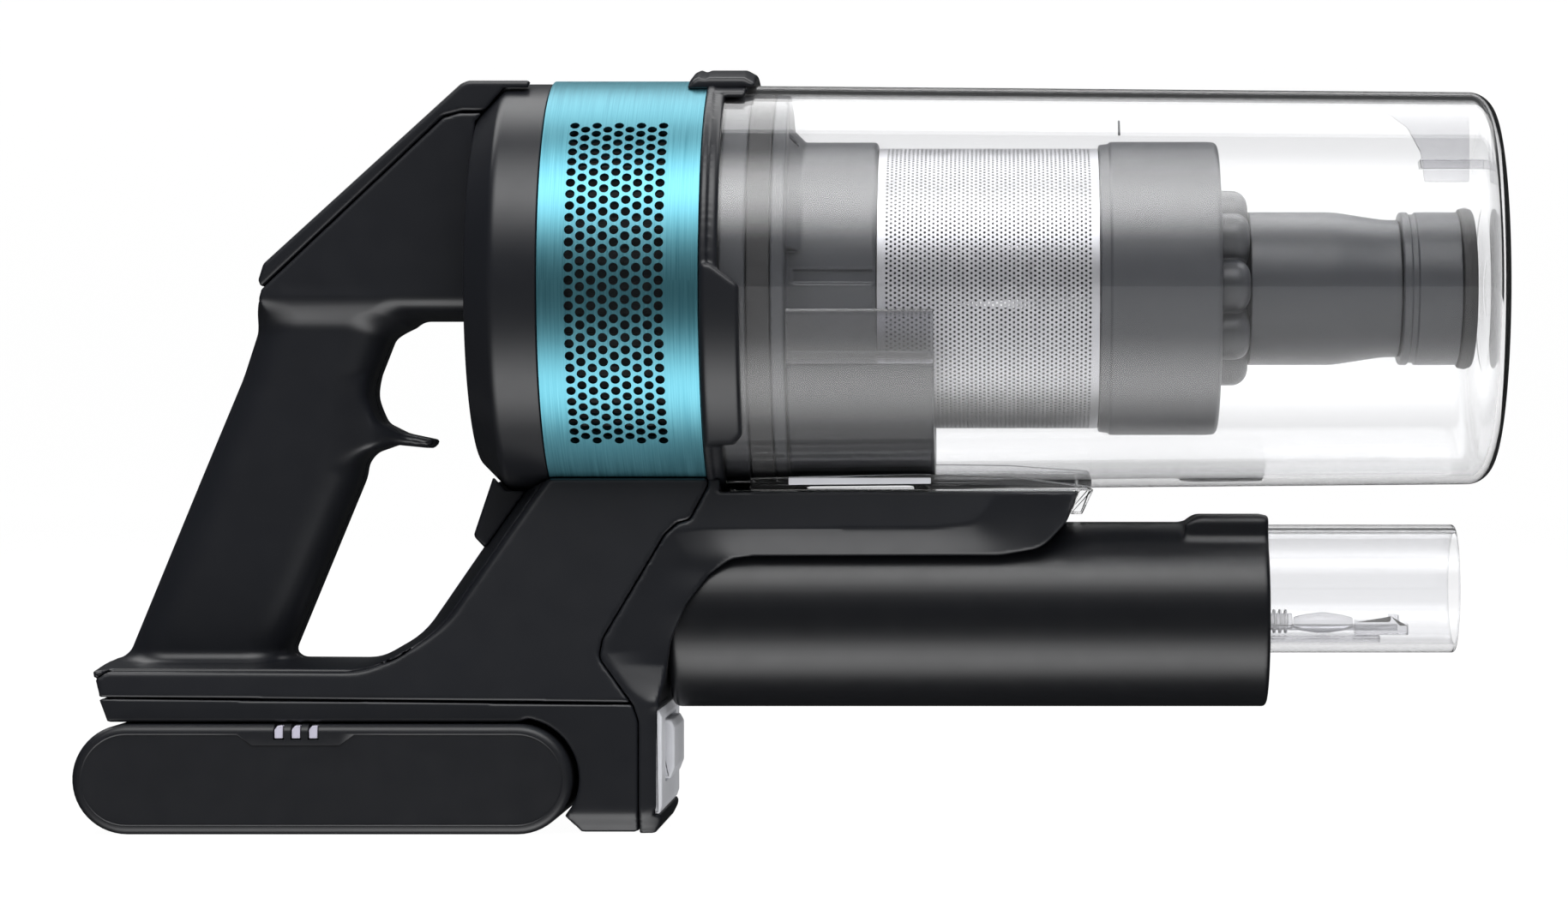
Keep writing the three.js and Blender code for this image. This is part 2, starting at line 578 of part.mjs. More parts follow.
// Route of the wires from the board down the grip to the terminal block, [x, y, z]
const harnessRoute = [
  [-126.6, 0, 154.6], [-131, 0, 148], [-137.5, 0, 141.5], [-140.4, 0, 134], [-142, 0, 124], [-146, 0, 104],
  [-149, 0, 80], [-150.5, 0, 64], [-154, 0, 52], [-153, 0, 44.5], [-146, 0, 41.4], [-130, 0, 41.1],
  [-90, 0, 41.1], [-70.4, 0, 41.1],
];

function harness(parent) {
  const path = new THREE.CatmullRomCurve3(harnessRoute.map(([x, y, z]) => new THREE.Vector3(x, y, z)));
  const ring = new THREE.Shape();
  ring.absarc(0, 0, 1.6, 0, Math.PI * 2);
  const geometry = new THREE.ExtrudeGeometry(ring, {
    steps: 30, bevelEnabled: false, extrudePath: path, curveSegments: 3,
  });
  parent.add(named("wiring_harness", solid(geometry), rubber));
}

function armLug(parent) {
  const blank = prism([[-85.2, 77.2], [-73, 77.2], [-73, 96], [-83.7, 96], [-88.8, 80.8]], -15, 15);
  const arm = prism([[-103.6, 53.8], [-50, 53.8], [-50, 99], [-72.7, 99]].map(([x, z]) => [x - GAP, z]), -30, 30);
  const cap = join(disc(-100, -60, CAP_R + GAP), disc(-66.9, -20, BODY_CLEAR_R));
  parent.add(named("arm_lug", cut(blank, arm, cap), black));
}

function bin(parent) {
  const outer = [
    [BIN_BACK, BIN_BACK_R],
    ...arc(BIN_SIDE_END - 1, BIN_END_R - BIN_CORNER, BIN_CORNER, 90, 20, 6),
    [BIN_END - 0.7, 25], [BIN_END, 8], [BIN_END, 0],
  ];
  const innerR = (r) => r - BIN_WALL;
  const inner = [
    [BIN_END - BIN_WALL, 0], [BIN_END - BIN_WALL - 0.2, 8], [BIN_END - BIN_WALL - 0.9, 25],
    ...arc(BIN_SIDE_END - 1.4, innerR(BIN_END_R) - 6, 6, 15, 90, 5),
    [BIN_BACK, innerR(BIN_BACK_R)],
  ];
  const points = [...outer, ...inner].map(([x, r]) => new THREE.Vector2(r, x));
  points[outer.length - 1].x = 0;
  points.push(points[0].clone());
  const shell = solid(new THREE.LatheGeometry(points, 40).rotateZ(-Math.PI / 2).translate(0, 0, AXIS_Z));
  const port = box(PORT.x0, PORT.x1, -PORT.half, PORT.half, 80, 120);
  const fin = prism([[162, 204], [165, 199], [171, 195], [175, 188], [176, 179.5], [190, 179.5], [190, 204]], -0.9, 0.9);
  const envelope = turned([[BIN_BACK, 0], [190, 0], [190, 40], [182, 53.5], [BIN_BACK, 54.5]]);
  parent.add(named("bin_shell", join(cut(shell, port), fin.intersect(envelope)), glass));
}

function binLever(parent) {
  const bottom = SADDLE_TOP + 0.4;
  const rails = [-1, 1].map((side) => {
    const [y0, y1] = side < 0 ? [-27, -17] : [17, 27];
    return prism([[-11.5, bottom], [82.4, bottom], [82.4, 95.2], [60, 98.6], [-11.5, 98.6]], y0, y1);
  });
  const lip = prism([[75.9, 87], [79.4, 87], [82.4, bottom], [82.4, bottom + 0.3], [78.9, bottom + 0.3]], -27, 27);
  const under = turned([[-40, 0], [200, 0], [200, BIN_END_R + 0.4], [-19, BIN_BACK_R + 0.4], [-40, BIN_BACK_R + 0.4]]);
  const blank = cut(join(...rails), under);
  parent.add(named("bin_lever", join(blank, lip), glass));
}

function cyclone(parent) {
  const flange = turned([
    [-18.7, 34], [23.3, 34], [23.3, NECK_R], [-1, NECK_R], [-1, FLANGE_R], [-4.6, FLANGE_R], [-4.6, 51.9],
    [-11.4, 51.9], [-11.4, FLANGE_R], [-18.7, FLANGE_R],
  ]);
  parent.add(named("cyclone_flange", flange, darkGrey));
  parent.add(named("flange_gasket", tube(-11.1, -4.9, 54.1, 52.2), rubber));
  parent.add(named("pre_filter", tube(-17.5, 20, 33.4, 13, 32), foam));
  parent.add(named("mesh_shroud", tube(SHROUD_BACK, SHROUD_FRONT, SHROUD_R, SHROUD_R - 1), steel));
  const cones = Array.from({ length: LOBES }, (_, i) => {
    const cone = new THREE.CylinderGeometry(4, 8.4, 84, 7).rotateZ(-Math.PI / 2).translate(69, 0, 25);
    return solid(cone.rotateX((Math.PI * 2 * i) / LOBES).translate(0, 0, AXIS_Z));
  });
  const web = tube(24, 29, 34, 14, 36);
  const rear = tube(86, 88.5, 37.5, 18, 36);
  parent.add(named("cone_block", join(web, rear, ...cones), darkGrey));
  const housingBlank = turned([
    [SHROUD_FRONT + GAP, 38.4], [CONE_HOUSING_FRONT - 2.3, 38.4], [CONE_HOUSING_FRONT - 2.3, 15],
    [CONE_HOUSING_FRONT, 15], [CONE_HOUSING_FRONT, CONE_HOUSING_R - 1],
    [CONE_HOUSING_FRONT - 1, CONE_HOUSING_R], [SHROUD_FRONT + GAP + 1, CONE_HOUSING_R],
    [SHROUD_FRONT + GAP, CONE_HOUSING_R - 1],
  ]);
  parent.add(named("cyclone_housing", housingBlank, darkGrey));
  const lobes = Array.from({ length: LOBES }, (_, i) => {
    const lobe = new THREE.CylinderGeometry(LOBE_R - 2, LOBE_R, 8.2, 12).rotateZ(-Math.PI / 2);
    lobe.translate(CONE_HOUSING_FRONT + GAP + 4.1, 0, LOBE_PITCH_R);
    return solid(lobe.rotateX((Math.PI * 2 * i) / LOBES).translate(0, 0, AXIS_Z));
  });
  const core = disc(CONE_HOUSING_FRONT + GAP, CONE_HOUSING_FRONT + GAP + 8.2, LOBE_PITCH_R, 36);
  parent.add(named("cone_tips", join(core, ...lobes), darkGrey));
  const dustTube = turned([
    [126.1, 19.6], [147.8, 19.6], [165.8, 17.2], [167.9, 17.2], [167.9, 19], [165.8, 19],
    [147.8, DUST_TUBE_R], [126.1, DUST_TUBE_R],
  ]);
  parent.add(named("dust_tube", dustTube, darkGrey));
  parent.add(named("dust_tube_collar", tube(168.2, 184.4, DUST_TUBE_R, 17.2), darkGrey));
  parent.add(named("dust_tube_seal", tube(184.7, 188.5, 22.6, 17.2), rubber));
}

// The channel inside the bin that turns the air from the port into a swirl
const GUIDE = { x0: -0.7, x1: 39, inner: 42, outer: 53.5, from: 205, to: 295, wall: 1.6 };

function inletGuide(parent) {
  const { x0, x1, inner, outer, from, to, wall } = GUIDE;
  const blank = section(sector(inner, outer, from, to, 12), x0, x1);
  const hollow = section(sector(inner + wall, outer - wall, from - 10, to - 3, 12), x0 + wall, x1 - wall);
  const port = box(PORT.x0, PORT.x1, -PORT.half, PORT.half, 80, 101);
  parent.add(named("inlet_guide", cut(blank, hollow, port), darkGrey));
}

function stadium(inset) {
  const low = inset;
  const high = BATTERY_TOP - inset;
  const radius = (high - low) / 2;
  const middle = (high + low) / 2;
  return [
    ...arc(BATTERY_FRONT - inset - radius, middle, radius, -90, 90, 10),
    ...arc(BATTERY_BACK + inset + radius, middle, radius, 90, 270, 10),
  ];
}

const LED_X = [-138.9, -134.2, -129.5];

function battery(parent) {
  const outside = join(
    prism(stadium(0), -BATTERY_HALF + 1.5, BATTERY_HALF - 1.5),
    prism(stadium(1.2), -BATTERY_HALF, BATTERY_HALF),
  );
  const inside = prism(stadium(BATTERY_WALL), -BATTERY_HALF + BATTERY_WALL, BATTERY_HALF - BATTERY_WALL);
  const windows = LED_X.map((x) => box(x - 1.4, x + 1.4, -40, -BATTERY_HALF + 4.4, 25.9, 40));
  const shell = cut(outside, inside, ...windows);
  parent.add(named("battery_case_left", shell.intersect(box(-220, 0, GAP / 2, 60, -5, 60)), black));
  parent.add(named("battery_case_right", shell.intersect(box(-220, 0, -60, -GAP / 2, -5, 60)), black));
  LED_X.forEach((x, i) => {
    const window = box(x - 1.15, x + 1.15, -BATTERY_HALF + 0.4, -BATTERY_HALF + 4.1, 26.2, 29.8);
    parent.add(named("led_window_" + (i + 1), window, glass));
  });
  const railNeck = box(RAIL.back, RAIL.front, -RAIL.neck, RAIL.neck, BATTERY_TOP + 0.2, RAIL.step);
  const railHead = box(RAIL.back, RAIL.front, -RAIL.head, RAIL.head, RAIL.step - 0.1, RAIL.top);
  const contactSlots = [-8, 0, 8].map((y) => box(-82, -60, y - 1.2, y + 1.2, 33.6, 40));
  parent.add(named("battery_rail", cut(join(railNeck, railHead), ...contactSlots), black));
  const pitch = 20.6;
  const first = (BATTERY_FRONT + BATTERY_BACK) / 2 - (pitch * (CELLS - 1)) / 2;
  const cells = Array.from({ length: CELLS }, (_, i) => crossRod(first + i * pitch, 13.2, -33, 33, CELL_R, 20));
  parent.add(named("battery_cells", join(...cells), metal(0x7d8790)));
  parent.add(named("battery_board", box(-176, -80, -28, 28, 25.2, 26.8), board));
}

const vacuum = new THREE.Group();
housingHalves(vacuum);
armCovers(vacuum);
dock(vacuum);
controlPanel(vacuum);
buttons(vacuum);
rearCap(vacuum);
motor(vacuum);
rotor(vacuum);
collar(vacuum);
frontBracket(vacuum);
footPlate(vacuum);
releaseButton(vacuum);
duct(vacuum);
nozzleTube(vacuum);
terminals(vacuum);
harness(vacuum);
armLug(vacuum);
bin(vacuum);
binLever(vacuum);
cyclone(vacuum);
inletGuide(vacuum);
battery(vacuum);

export default vacuum;
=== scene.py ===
import json
import math

import bmesh
import bpy
import numpy as np
import openvdb
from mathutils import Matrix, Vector

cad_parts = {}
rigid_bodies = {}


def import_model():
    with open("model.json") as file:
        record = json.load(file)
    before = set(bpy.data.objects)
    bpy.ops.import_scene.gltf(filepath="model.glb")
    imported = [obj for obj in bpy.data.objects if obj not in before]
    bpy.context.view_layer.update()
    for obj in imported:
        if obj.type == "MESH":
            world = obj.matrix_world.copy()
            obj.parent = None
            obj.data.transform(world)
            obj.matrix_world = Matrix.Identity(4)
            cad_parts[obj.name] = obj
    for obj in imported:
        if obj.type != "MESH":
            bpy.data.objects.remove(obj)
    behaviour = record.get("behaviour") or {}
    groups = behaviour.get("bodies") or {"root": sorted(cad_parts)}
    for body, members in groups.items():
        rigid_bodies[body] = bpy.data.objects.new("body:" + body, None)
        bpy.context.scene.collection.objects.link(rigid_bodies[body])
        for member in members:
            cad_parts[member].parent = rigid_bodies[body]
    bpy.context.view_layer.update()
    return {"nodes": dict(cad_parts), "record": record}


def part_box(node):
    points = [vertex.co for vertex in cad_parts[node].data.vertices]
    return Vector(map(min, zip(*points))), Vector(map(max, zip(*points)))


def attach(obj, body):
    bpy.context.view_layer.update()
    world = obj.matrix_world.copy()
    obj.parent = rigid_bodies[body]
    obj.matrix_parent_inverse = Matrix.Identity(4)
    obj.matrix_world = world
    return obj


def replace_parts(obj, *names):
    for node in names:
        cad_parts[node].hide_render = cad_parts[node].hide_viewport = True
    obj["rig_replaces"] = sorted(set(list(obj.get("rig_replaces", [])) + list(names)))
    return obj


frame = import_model()

MM = 0.001
VOXEL = 0.75  # grid for the moulded shells
GAP = 0.3  # seam between neighbouring pieces


def low(node):
    return np.array(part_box(node)[0]) / MM


def high(node):
    return np.array(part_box(node)[1]) / MM


# Driving dimensions, from the frame where a node gives them
AXIS_Z = (low("bin_shell")[2] + high("bin_shell")[2]) / 2
CAP_BACK, CAP_FRONT = low("rear_cap")[0], high("rear_cap")[0]
RING_BACK, RING_FRONT = low("vent_ring")[0], high("vent_ring")[0]
RING_R, RING_WALL = 57.8, 1.2
CAP_R = 57
COLLAR_R = 58.2
PAD_R = high("collar")[1]
BIN_BACK, BIN_END = low("bin_shell")[0], high("bin_shell")[0]
BIN_BACK_R, BIN_END_R, BIN_WALL = 56.6, 54.8, 2.2
FLANGE_R, NECK_R = 53.9, 40.8
SHROUD_BACK, SHROUD_FRONT = low("mesh_shroud")[0], high("mesh_shroud")[0]
SHROUD_R = 39.1
CONE_HOUSING_R = 41
DUST_TUBE_R = 21.4
DUCT_Z, DUCT_R = 58.7, 25.8
DUCT_FRONT = high("intake_duct")[0]
HOOD_TOP = high("intake_duct")[2]
TUBE_Z, TUBE_R, TUBE_BORE_R = 65.8, 17.9, 15.7
TUBE_BACK, TUBE_FRONT = low("nozzle_tube")[0], high("nozzle_tube")[0]
BASE_HALF, ARM_TOP_HALF, GRIP_HALF, UPPER_HALF = 34, 24.5, 17.5, 20.5
BATTERY_BACK, BATTERY_FRONT = low("battery_case_left")[0], high("battery_case_left")[0]
BATTERY_HALF, BATTERY_TOP = 37, 30
HIGH_GLOW, LOW_GLOW = 5.8, 4.2  # brightness in each diffuser's middle
FLOOR_GLOW = 0.98  # the floor and backdrop shine evenly, which hides nearly all shadow
PORT_X, PORT_HALF_X, PORT_HALF_Y = 18, 15, 11  # air port from the duct up into the bin
SCREWS = [(-160, 66, 17.5), (-132, 134, 17.5), (-70, 66, 26)]

# ---------------------------------------------------------------- materials


def shader(name):
    material = bpy.data.materials.new(name)
    material.use_nodes = True
    tree = material.node_tree
    return material, tree, tree.nodes["Principled BSDF"]


def node(tree, kind, **values):
    made = tree.nodes.new(kind)
    for key, value in values.items():
        if hasattr(made, key):
            setattr(made, key, value)
        else:
            made.inputs[key.replace("_", " ")].default_value = value
    return made


def place(tree):
    """The point on the surface in metres, the same whatever the camera does."""
    return node(tree, "ShaderNodeTexCoord").outputs["Object"]


def noise(tree, vector, scale, detail=2.0):
    made = node(tree, "ShaderNodeTexNoise", Scale=scale, Detail=detail)
    tree.links.new(vector, made.inputs["Vector"])
    return made.outputs["Fac"]


def ramp(tree, value, start, end):
    made = node(tree, "ShaderNodeMapRange")
    made.inputs["To Min"].default_value = start
    made.inputs["To Max"].default_value = end
    tree.links.new(value, made.inputs["Value"])
    return made.outputs["Result"]


def tinted(tree, value, dark, light):
    mix = node(tree, "ShaderNodeMix", data_type="RGBA")
    tree.links.new(value, mix.inputs["Factor"])
    mix.inputs[6].default_value = (*dark, 1)
    mix.inputs[7].default_value = (*light, 1)
    return mix.outputs[2]


def bumped(tree, bsdf, height, strength, distance):
    bump = node(tree, "ShaderNodeBump", Strength=strength, Distance=distance)
    tree.links.new(height, bump.inputs["Height"])
    tree.links.new(bump.outputs["Normal"], bsdf.inputs["Normal"])


def plastic(name, colour, rough, grain=0.25, grain_scale=2600, specular=0.5, coat=0.0):
    """Moulded plastic: a fine spark-eroded grain, faint cloudy variation of colour and gloss."""
    material, tree, bsdf = shader(name)
    where = place(tree)
    cloud = noise(tree, where, 45, 3)
    tree.links.new(
        tinted(tree, cloud, [c * 0.88 for c in colour], [c * 1.12 for c in colour]), bsdf.inputs["Base Color"]
    )
    gloss = ramp(tree, noise(tree, where, 160, 3), rough * 0.88, rough * 1.12)
    tree.links.new(gloss, bsdf.inputs["Roughness"])
    bsdf.inputs["Specular IOR Level"].default_value = specular
    bsdf.inputs["Coat Weight"].default_value = coat
    bsdf.inputs["Coat Roughness"].default_value = 0.12
    if grain:
        bumped(tree, bsdf, noise(tree, where, grain_scale, 2), grain, 0.00006)
    return material


def turned_coordinates(tree, across, around):
    """Coordinates that run along X and round the motor's axis, for marks left by turning or brushing."""
    split = node(tree, "ShaderNodeSeparateXYZ")
    tree.links.new(place(tree), split.inputs[0])
    height = node(tree, "ShaderNodeMath", operation="SUBTRACT")
    tree.links.new(split.outputs[2], height.inputs[0])
    height.inputs[1].default_value = AXIS_Z * MM
    angle = node(tree, "ShaderNodeMath", operation="ARCTAN2")
    tree.links.new(height.outputs[0], angle.inputs[0])
    tree.links.new(split.outputs[1], angle.inputs[1])
    scaled = []
    for socket, factor in ((split.outputs[0], across), (angle.outputs[0], around)):
        by = node(tree, "ShaderNodeMath", operation="MULTIPLY")
        tree.links.new(socket, by.inputs[0])
        by.inputs[1].default_value = factor
        scaled.append(by.outputs[0])
    join = node(tree, "ShaderNodeCombineXYZ")
    tree.links.new(scaled[0], join.inputs[0])
    tree.links.new(scaled[1], join.inputs[1])
    return join.outputs[0]


def brushed_metal(name, dark, light, rough, across, around, depth, anisotropic=0.0, metallic=1.0):
    """Metal brushed round its axis: long streaks in colour, gloss and height."""
    material, tree, bsdf = shader(name)
    streaks = noise(tree, turned_coordinates(tree, across, around), 1.0, 3)
    bsdf.inputs["Metallic"].default_value = metallic
    bsdf.inputs["Anisotropic"].default_value = anisotropic
    tree.links.new(tinted(tree, ramp(tree, streaks, -0.4, 1.4), dark, light), bsdf.inputs["Base Color"])
    tree.links.new(ramp(tree, streaks, rough * 0.85, rough * 1.15), bsdf.inputs["Roughness"])
    bumped(tree, bsdf, streaks, depth, 0.00005)
    if anisotropic:
        tangent = node(tree, "ShaderNodeTangent", direction_type="RADIAL", axis="X")
        tree.links.new(tangent.outputs[0], bsdf.inputs["Tangent"])
    return material


def plain_metal(name, colour, rough):
    material, tree, bsdf = shader(name)
    where = place(tree)
    smear = noise(tree, where, 300, 4)
    bsdf.inputs["Metallic"].default_value = 1.0
    tree.links.new(
        tinted(tree, smear, [c * 0.85 for c in colour], [min(1, c * 1.1) for c in colour]),
        bsdf.inputs["Base Color"],
    )
    tree.links.new(ramp(tree, smear, rough * 0.7, rough * 1.3), bsdf.inputs["Roughness"])
    return material


def rubber(name, colour):
    material, tree, bsdf = shader(name)
    where = place(tree)
    tree.links.new(
        tinted(tree, noise(tree, where, 90, 3), colour, [c * 1.6 for c in colour]), bsdf.inputs["Base Color"]
    )
    bsdf.inputs["Roughness"].default_value = 0.72
    bumped(tree, bsdf, noise(tree, where, 1500, 3), 0.3, 0.00008)
    return material


def foam(name, colour):
    """Filter fleece: short crossing fibres and pores."""
    material, tree, bsdf = shader(name)
    where = place(tree)
    fibres = noise(tree, where, 700, 6)
    tree.links.new(tinted(tree, fibres, [c * 0.5 for c in colour], colour), bsdf.inputs["Base Color"])
    bsdf.inputs["Roughness"].default_value = 0.95
    bsdf.inputs["Sheen Weight"].default_value = 0.3
    bumped(tree, bsdf, fibres, 0.8, 0.0004)
    return material


def board(name):
    """Solder mask over copper tracks."""
    material, tree, bsdf = shader(name)
    where = place(tree)
    tracks = node(tree, "ShaderNodeTexBrick", Scale=180)
    tree.links.new(where, tracks.inputs["Vector"])
    tracks.inputs["Color1"].default_value = (0.02, 0.12, 0.05, 1)
    tracks.inputs["Color2"].default_value = (0.025, 0.15, 0.07, 1)
    tracks.inputs["Mortar"].default_value = (0.05, 0.24, 0.11, 1)
    tree.links.new(tracks.outputs["Color"], bsdf.inputs["Base Color"])
    bsdf.inputs["Roughness"].default_value = 0.3
    return material


def clear_plastic(name, colour, rough=0.01, shade=0.9):
    """Clear moulded plastic, greyer seen edge-on. Lamps shine through it, so what it holds is lit."""
    material, tree, bsdf = shader(name)
    where = place(tree)
    edge_on = node(tree, "ShaderNodeLayerWeight", Blend=0.5).outputs["Facing"]
    greyer = [c * 0.80 for c in colour]
    tree.links.new(tinted(tree, edge_on, colour, greyer), bsdf.inputs["Base Color"])
    bsdf.inputs["Transmission Weight"].default_value = 1.0
    bsdf.inputs["IOR"].default_value = 1.38
    bsdf.inputs["Specular IOR Level"].default_value = 0.12
    bsdf.inputs["Coat Weight"].default_value = 0.32
    bsdf.inputs["Coat Roughness"].default_value = 0.3
    tree.links.new(ramp(tree, noise(tree, where, 60, 2), rough * 0.6, rough * 1.4), bsdf.inputs["Roughness"])
    through = node(tree, "ShaderNodeBsdfTransparent")
    through.inputs["Color"].default_value = (shade, shade, shade, 1)
    path = node(tree, "ShaderNodeLightPath")
    mix = node(tree, "ShaderNodeMixShader")
    tree.links.new(path.outputs["Is Shadow Ray"], mix.inputs[0])
    tree.links.new(bsdf.outputs[0], mix.inputs[1])
    tree.links.new(through.outputs[0], mix.inputs[2])
    tree.links.new(mix.outputs[0], tree.nodes["Material Output"].inputs["Surface"])
    return material


MATERIALS = {
    "black_plastic": plastic("satin_black", (0.0118, 0.0129, 0.0168), 0.35, 0.08),
    "battery_black": plastic("battery_black", (0.0118, 0.0128, 0.0164), 0.38, 0.12, 2200),
    "button_black": plastic("button_black", (0.020, 0.0205, 0.023), 0.36, 0.1),
    "gloss_black": plastic("display_gloss", (0.004, 0.004, 0.005), 0.08, 0, coat=0.6),
    "duct_black": plastic("duct_black", (0.0068, 0.0074, 0.0098), 0.33, 0.03),
    "teal_metal": brushed_metal(
        "brushed_teal", (0.072, 0.245, 0.305), (0.135, 0.37, 0.445), 0.36, 2600, 2.2, 0.35, anisotropic=0.45
    ),
    "dark_grey_plastic": plastic("dark_grey", (0.043, 0.045, 0.051), 0.38, 0),
    "pale_grey_plastic": plastic("pale_grey", (0.72, 0.73, 0.77), 0.38, 0.15),
    "rubber": rubber("black_rubber", (0.010, 0.010, 0.011)),
    "filter_foam": foam("filter_fleece", (0.030, 0.031, 0.034)),
    "clear_plastic": clear_plastic("clear_plastic", (0.985, 0.987, 0.995)),
    "smoked_clear": clear_plastic("smoked_clear", (0.55, 0.55, 0.58)),
    "nozzle_clear": clear_plastic("nozzle_clear", (0.93, 0.932, 0.945)),
    "tinted_clear": clear_plastic("tinted_clear", (0.70, 0.70, 0.72)),
    "led_lens": plastic("led_lens", (0.62, 0.60, 0.72), 0.25, 0, coat=0.5),
    "steel": plain_metal("plain_steel", (0.55, 0.55, 0.57), 0.32),
    "mesh_steel": brushed_metal(
        "mesh_steel", (0.44, 0.44, 0.46), (0.52, 0.52, 0.54), 0.42, 300, 3.0, 0.0
    ),
    "light_alloy": plain_metal("machined_alloy", (0.72, 0.72, 0.74), 0.22),
    "cell_metal": plain_metal("cell_sleeve", (0.10, 0.22, 0.42), 0.35),
    "circuit_board": board("circuit_board"),
}
SLOT_OF = {part["node"]: part["material_slot"] for part in frame["record"]["subparts"]}
BODY_OF = {name: body for body, names in frame["record"]["behaviour"]["bodies"].items() for name in names}

# ---------------------------------------------------------------- meshes


def piece(name, verts, faces, nodes, sharp=None, material=None):
    """A new piece in millimetres that stands for CAD nodes, takes their finish and rides on their body."""
    verts = np.asarray(verts, float)
    mesh = bpy.data.meshes.new(name)
    mesh.from_pydata((verts * MM).tolist(), [], [list(map(int, face)) for face in faces])
    mesh.validate()
    made = bmesh.new()
    made.from_mesh(mesh)
    bmesh.ops.remove_doubles(made, verts=made.verts, dist=1e-7)
    if made.calc_volume(signed=True) < 0:
        bmesh.ops.reverse_faces(made, faces=made.faces)
    for face in made.faces:
        face.smooth = True
    if sharp:
        for edge in made.edges:
            edge.smooth = len(edge.link_faces) != 2 or edge.calc_face_angle(0) < math.radians(sharp)
    made.to_mesh(mesh)
    made.free()
    obj = bpy.data.objects.new(name, mesh)
    bpy.context.scene.collection.objects.link(obj)
    slot = SLOT_OF[nodes[0]]
    obj.data.materials.append(material or MATERIALS[slot])
    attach(obj, BODY_OF[nodes[0]])
    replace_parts(obj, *nodes)
    return obj


def flat_shading(obj):
    """Keeps large faces evenly shaded beside their small rounded edges."""
    modifier = obj.modifiers.new("even_normals", "WEIGHTED_NORMAL")
    modifier.keep_sharp = True
    modifier.weight = 100


def fillet(corners, closed=True, turn=15):
    """An outline with each (a, b, radius) corner turned into an arc. Corners with no radius stay sharp."""
    points = []
    count = len(corners)
    for i, corner in enumerate(corners):
        here = np.array(corner[:2], float)
        radius = corner[2] if len(corner) > 2 else 0
        if radius == 0 or (not closed and i in (0, count - 1)):
            points.append(tuple(here))
            continue
        back = np.array(corners[i - 1][:2]) - here
        ahead = np.array(corners[(i + 1) % count][:2]) - here
        reach_limit = 0.49 * min(np.linalg.norm(back), np.linalg.norm(ahead))
        back /= np.linalg.norm(back)
        ahead /= np.linalg.norm(ahead)
        half = math.acos(np.clip(back @ ahead, -1, 1)) / 2
        reach = min(radius / math.tan(half), reach_limit)
        radius = reach * math.tan(half)
        middle = back + ahead
        centre = here + middle / np.linalg.norm(middle) * radius / math.sin(half)
        first = here + back * reach - centre
        last = here + ahead * reach - centre
        angle = math.atan2(first[1], first[0])
        sweep = math.remainder(math.atan2(last[1], last[0]) - angle, 2 * math.pi)
        steps = max(1, math.ceil(abs(math.degrees(sweep)) / turn))
        for k in range(steps + 1):
            t = angle + sweep * k / steps
            points.append((centre[0] + radius * math.cos(t), centre[1] + radius * math.sin(t)))
    return points


def lathe(profile, segments=192, height=None):
    """Vertices and faces of a closed (x, radius) profile turned round a line along X."""
    height = AXIS_Z if height is None else height
    turn = np.linspace(0, 2 * math.pi, segments, endpoint=False)
    verts = []
    rings = []
    for x, radius in profile:
        if radius < 1e-6:
            rings.append([len(verts)] * segments)
            verts.append((x, 0, height))
        else:
            rings.append(list(range(len(verts), len(verts) + segments)))
            verts.extend(zip([x] * segments, radius * np.cos(turn), height + radius * np.sin(turn)))
    faces = []
    for a, b in zip(rings, rings[1:] + rings[:1]):
        for j in range(segments):
            k = (j + 1) % segments
            corners = list(dict.fromkeys((a[j], b[j], b[k], a[k])))
            if len(corners) > 2:
                faces.append(corners)
    return verts, faces


def turned(name, profile, nodes, segments=192, height=None, material=None):
    flat_shading(piece(name, *lathe(profile, segments, height), nodes, material=material))


def ring_profile(x0, x1, outer, inner, edge=0.4):
    return fillet([(x0, inner, edge), (x1, inner, edge), (x1, outer, edge), (x0, outer, edge)], turn=30)


def lofted(outline_at, stations, cap_last=True):
    """A skin through outlines with equally many points, as {station: [(x, y, z), ...]}."""
    verts = []
    rings = []
    for station in stations:
        points = outline_at(station)
        rings.append(list(range(len(verts), len(verts) + len(points))))
        verts.extend(points)
    faces = []
    for a, b in zip(rings, rings[1:]):
        for j in range(len(a)):
            k = (j + 1) % len(a)
            faces.append((a[j], b[j], b[k], a[k]))
    faces.append(rings[0])
    if cap_last:
        faces.append(rings[-1][::-1])
    return verts, faces


def inset(outline, by):
    """The outline moved inwards by a distance. It runs anticlockwise."""
    points = np.array(outline)
    ahead = np.roll(points, -1, 0) - points
    ahead /= np.linalg.norm(ahead, axis=1)[:, None]
    behind = np.roll(ahead, 1, 0)
    normal = np.stack([-(ahead + behind)[:, 1], (ahead + behind)[:, 0]], 1)
    normal /= np.linalg.norm(normal, axis=1)[:, None]
    reach = by / np.maximum(0.3, normal[:, 1] * ahead[:, 0] - normal[:, 0] * ahead[:, 1])
    return points + normal * reach[:, None]


def slab(outline, y0, y1, edge, steps=4):
    """A side outline of (x, z) points extruded from y0 to y1, with rounded rims."""
    quarter = [math.pi / 2 * k / steps for k in range(steps + 1)]
    stations = [(edge * (1 - math.sin(t)), y0 + edge * (1 - math.cos(t))) for t in quarter]
    stations += [(edge * (1 - math.sin(t)), y1 - edge * (1 - math.cos(t))) for t in reversed(quarter)]

    def at(station):
        by, y = station
        return [(x, y, z) for x, z in inset(outline, by)]

    return lofted(at, stations)


def flat_piece(name, outline, y0, y1, edge, nodes, steps=4, material=None):
    """A slab as a piece, with its large faces evenly shaded."""
    obj = piece(name, *slab(outline, y0, y1, edge, steps), nodes, material=material)
    flat_shading(obj)


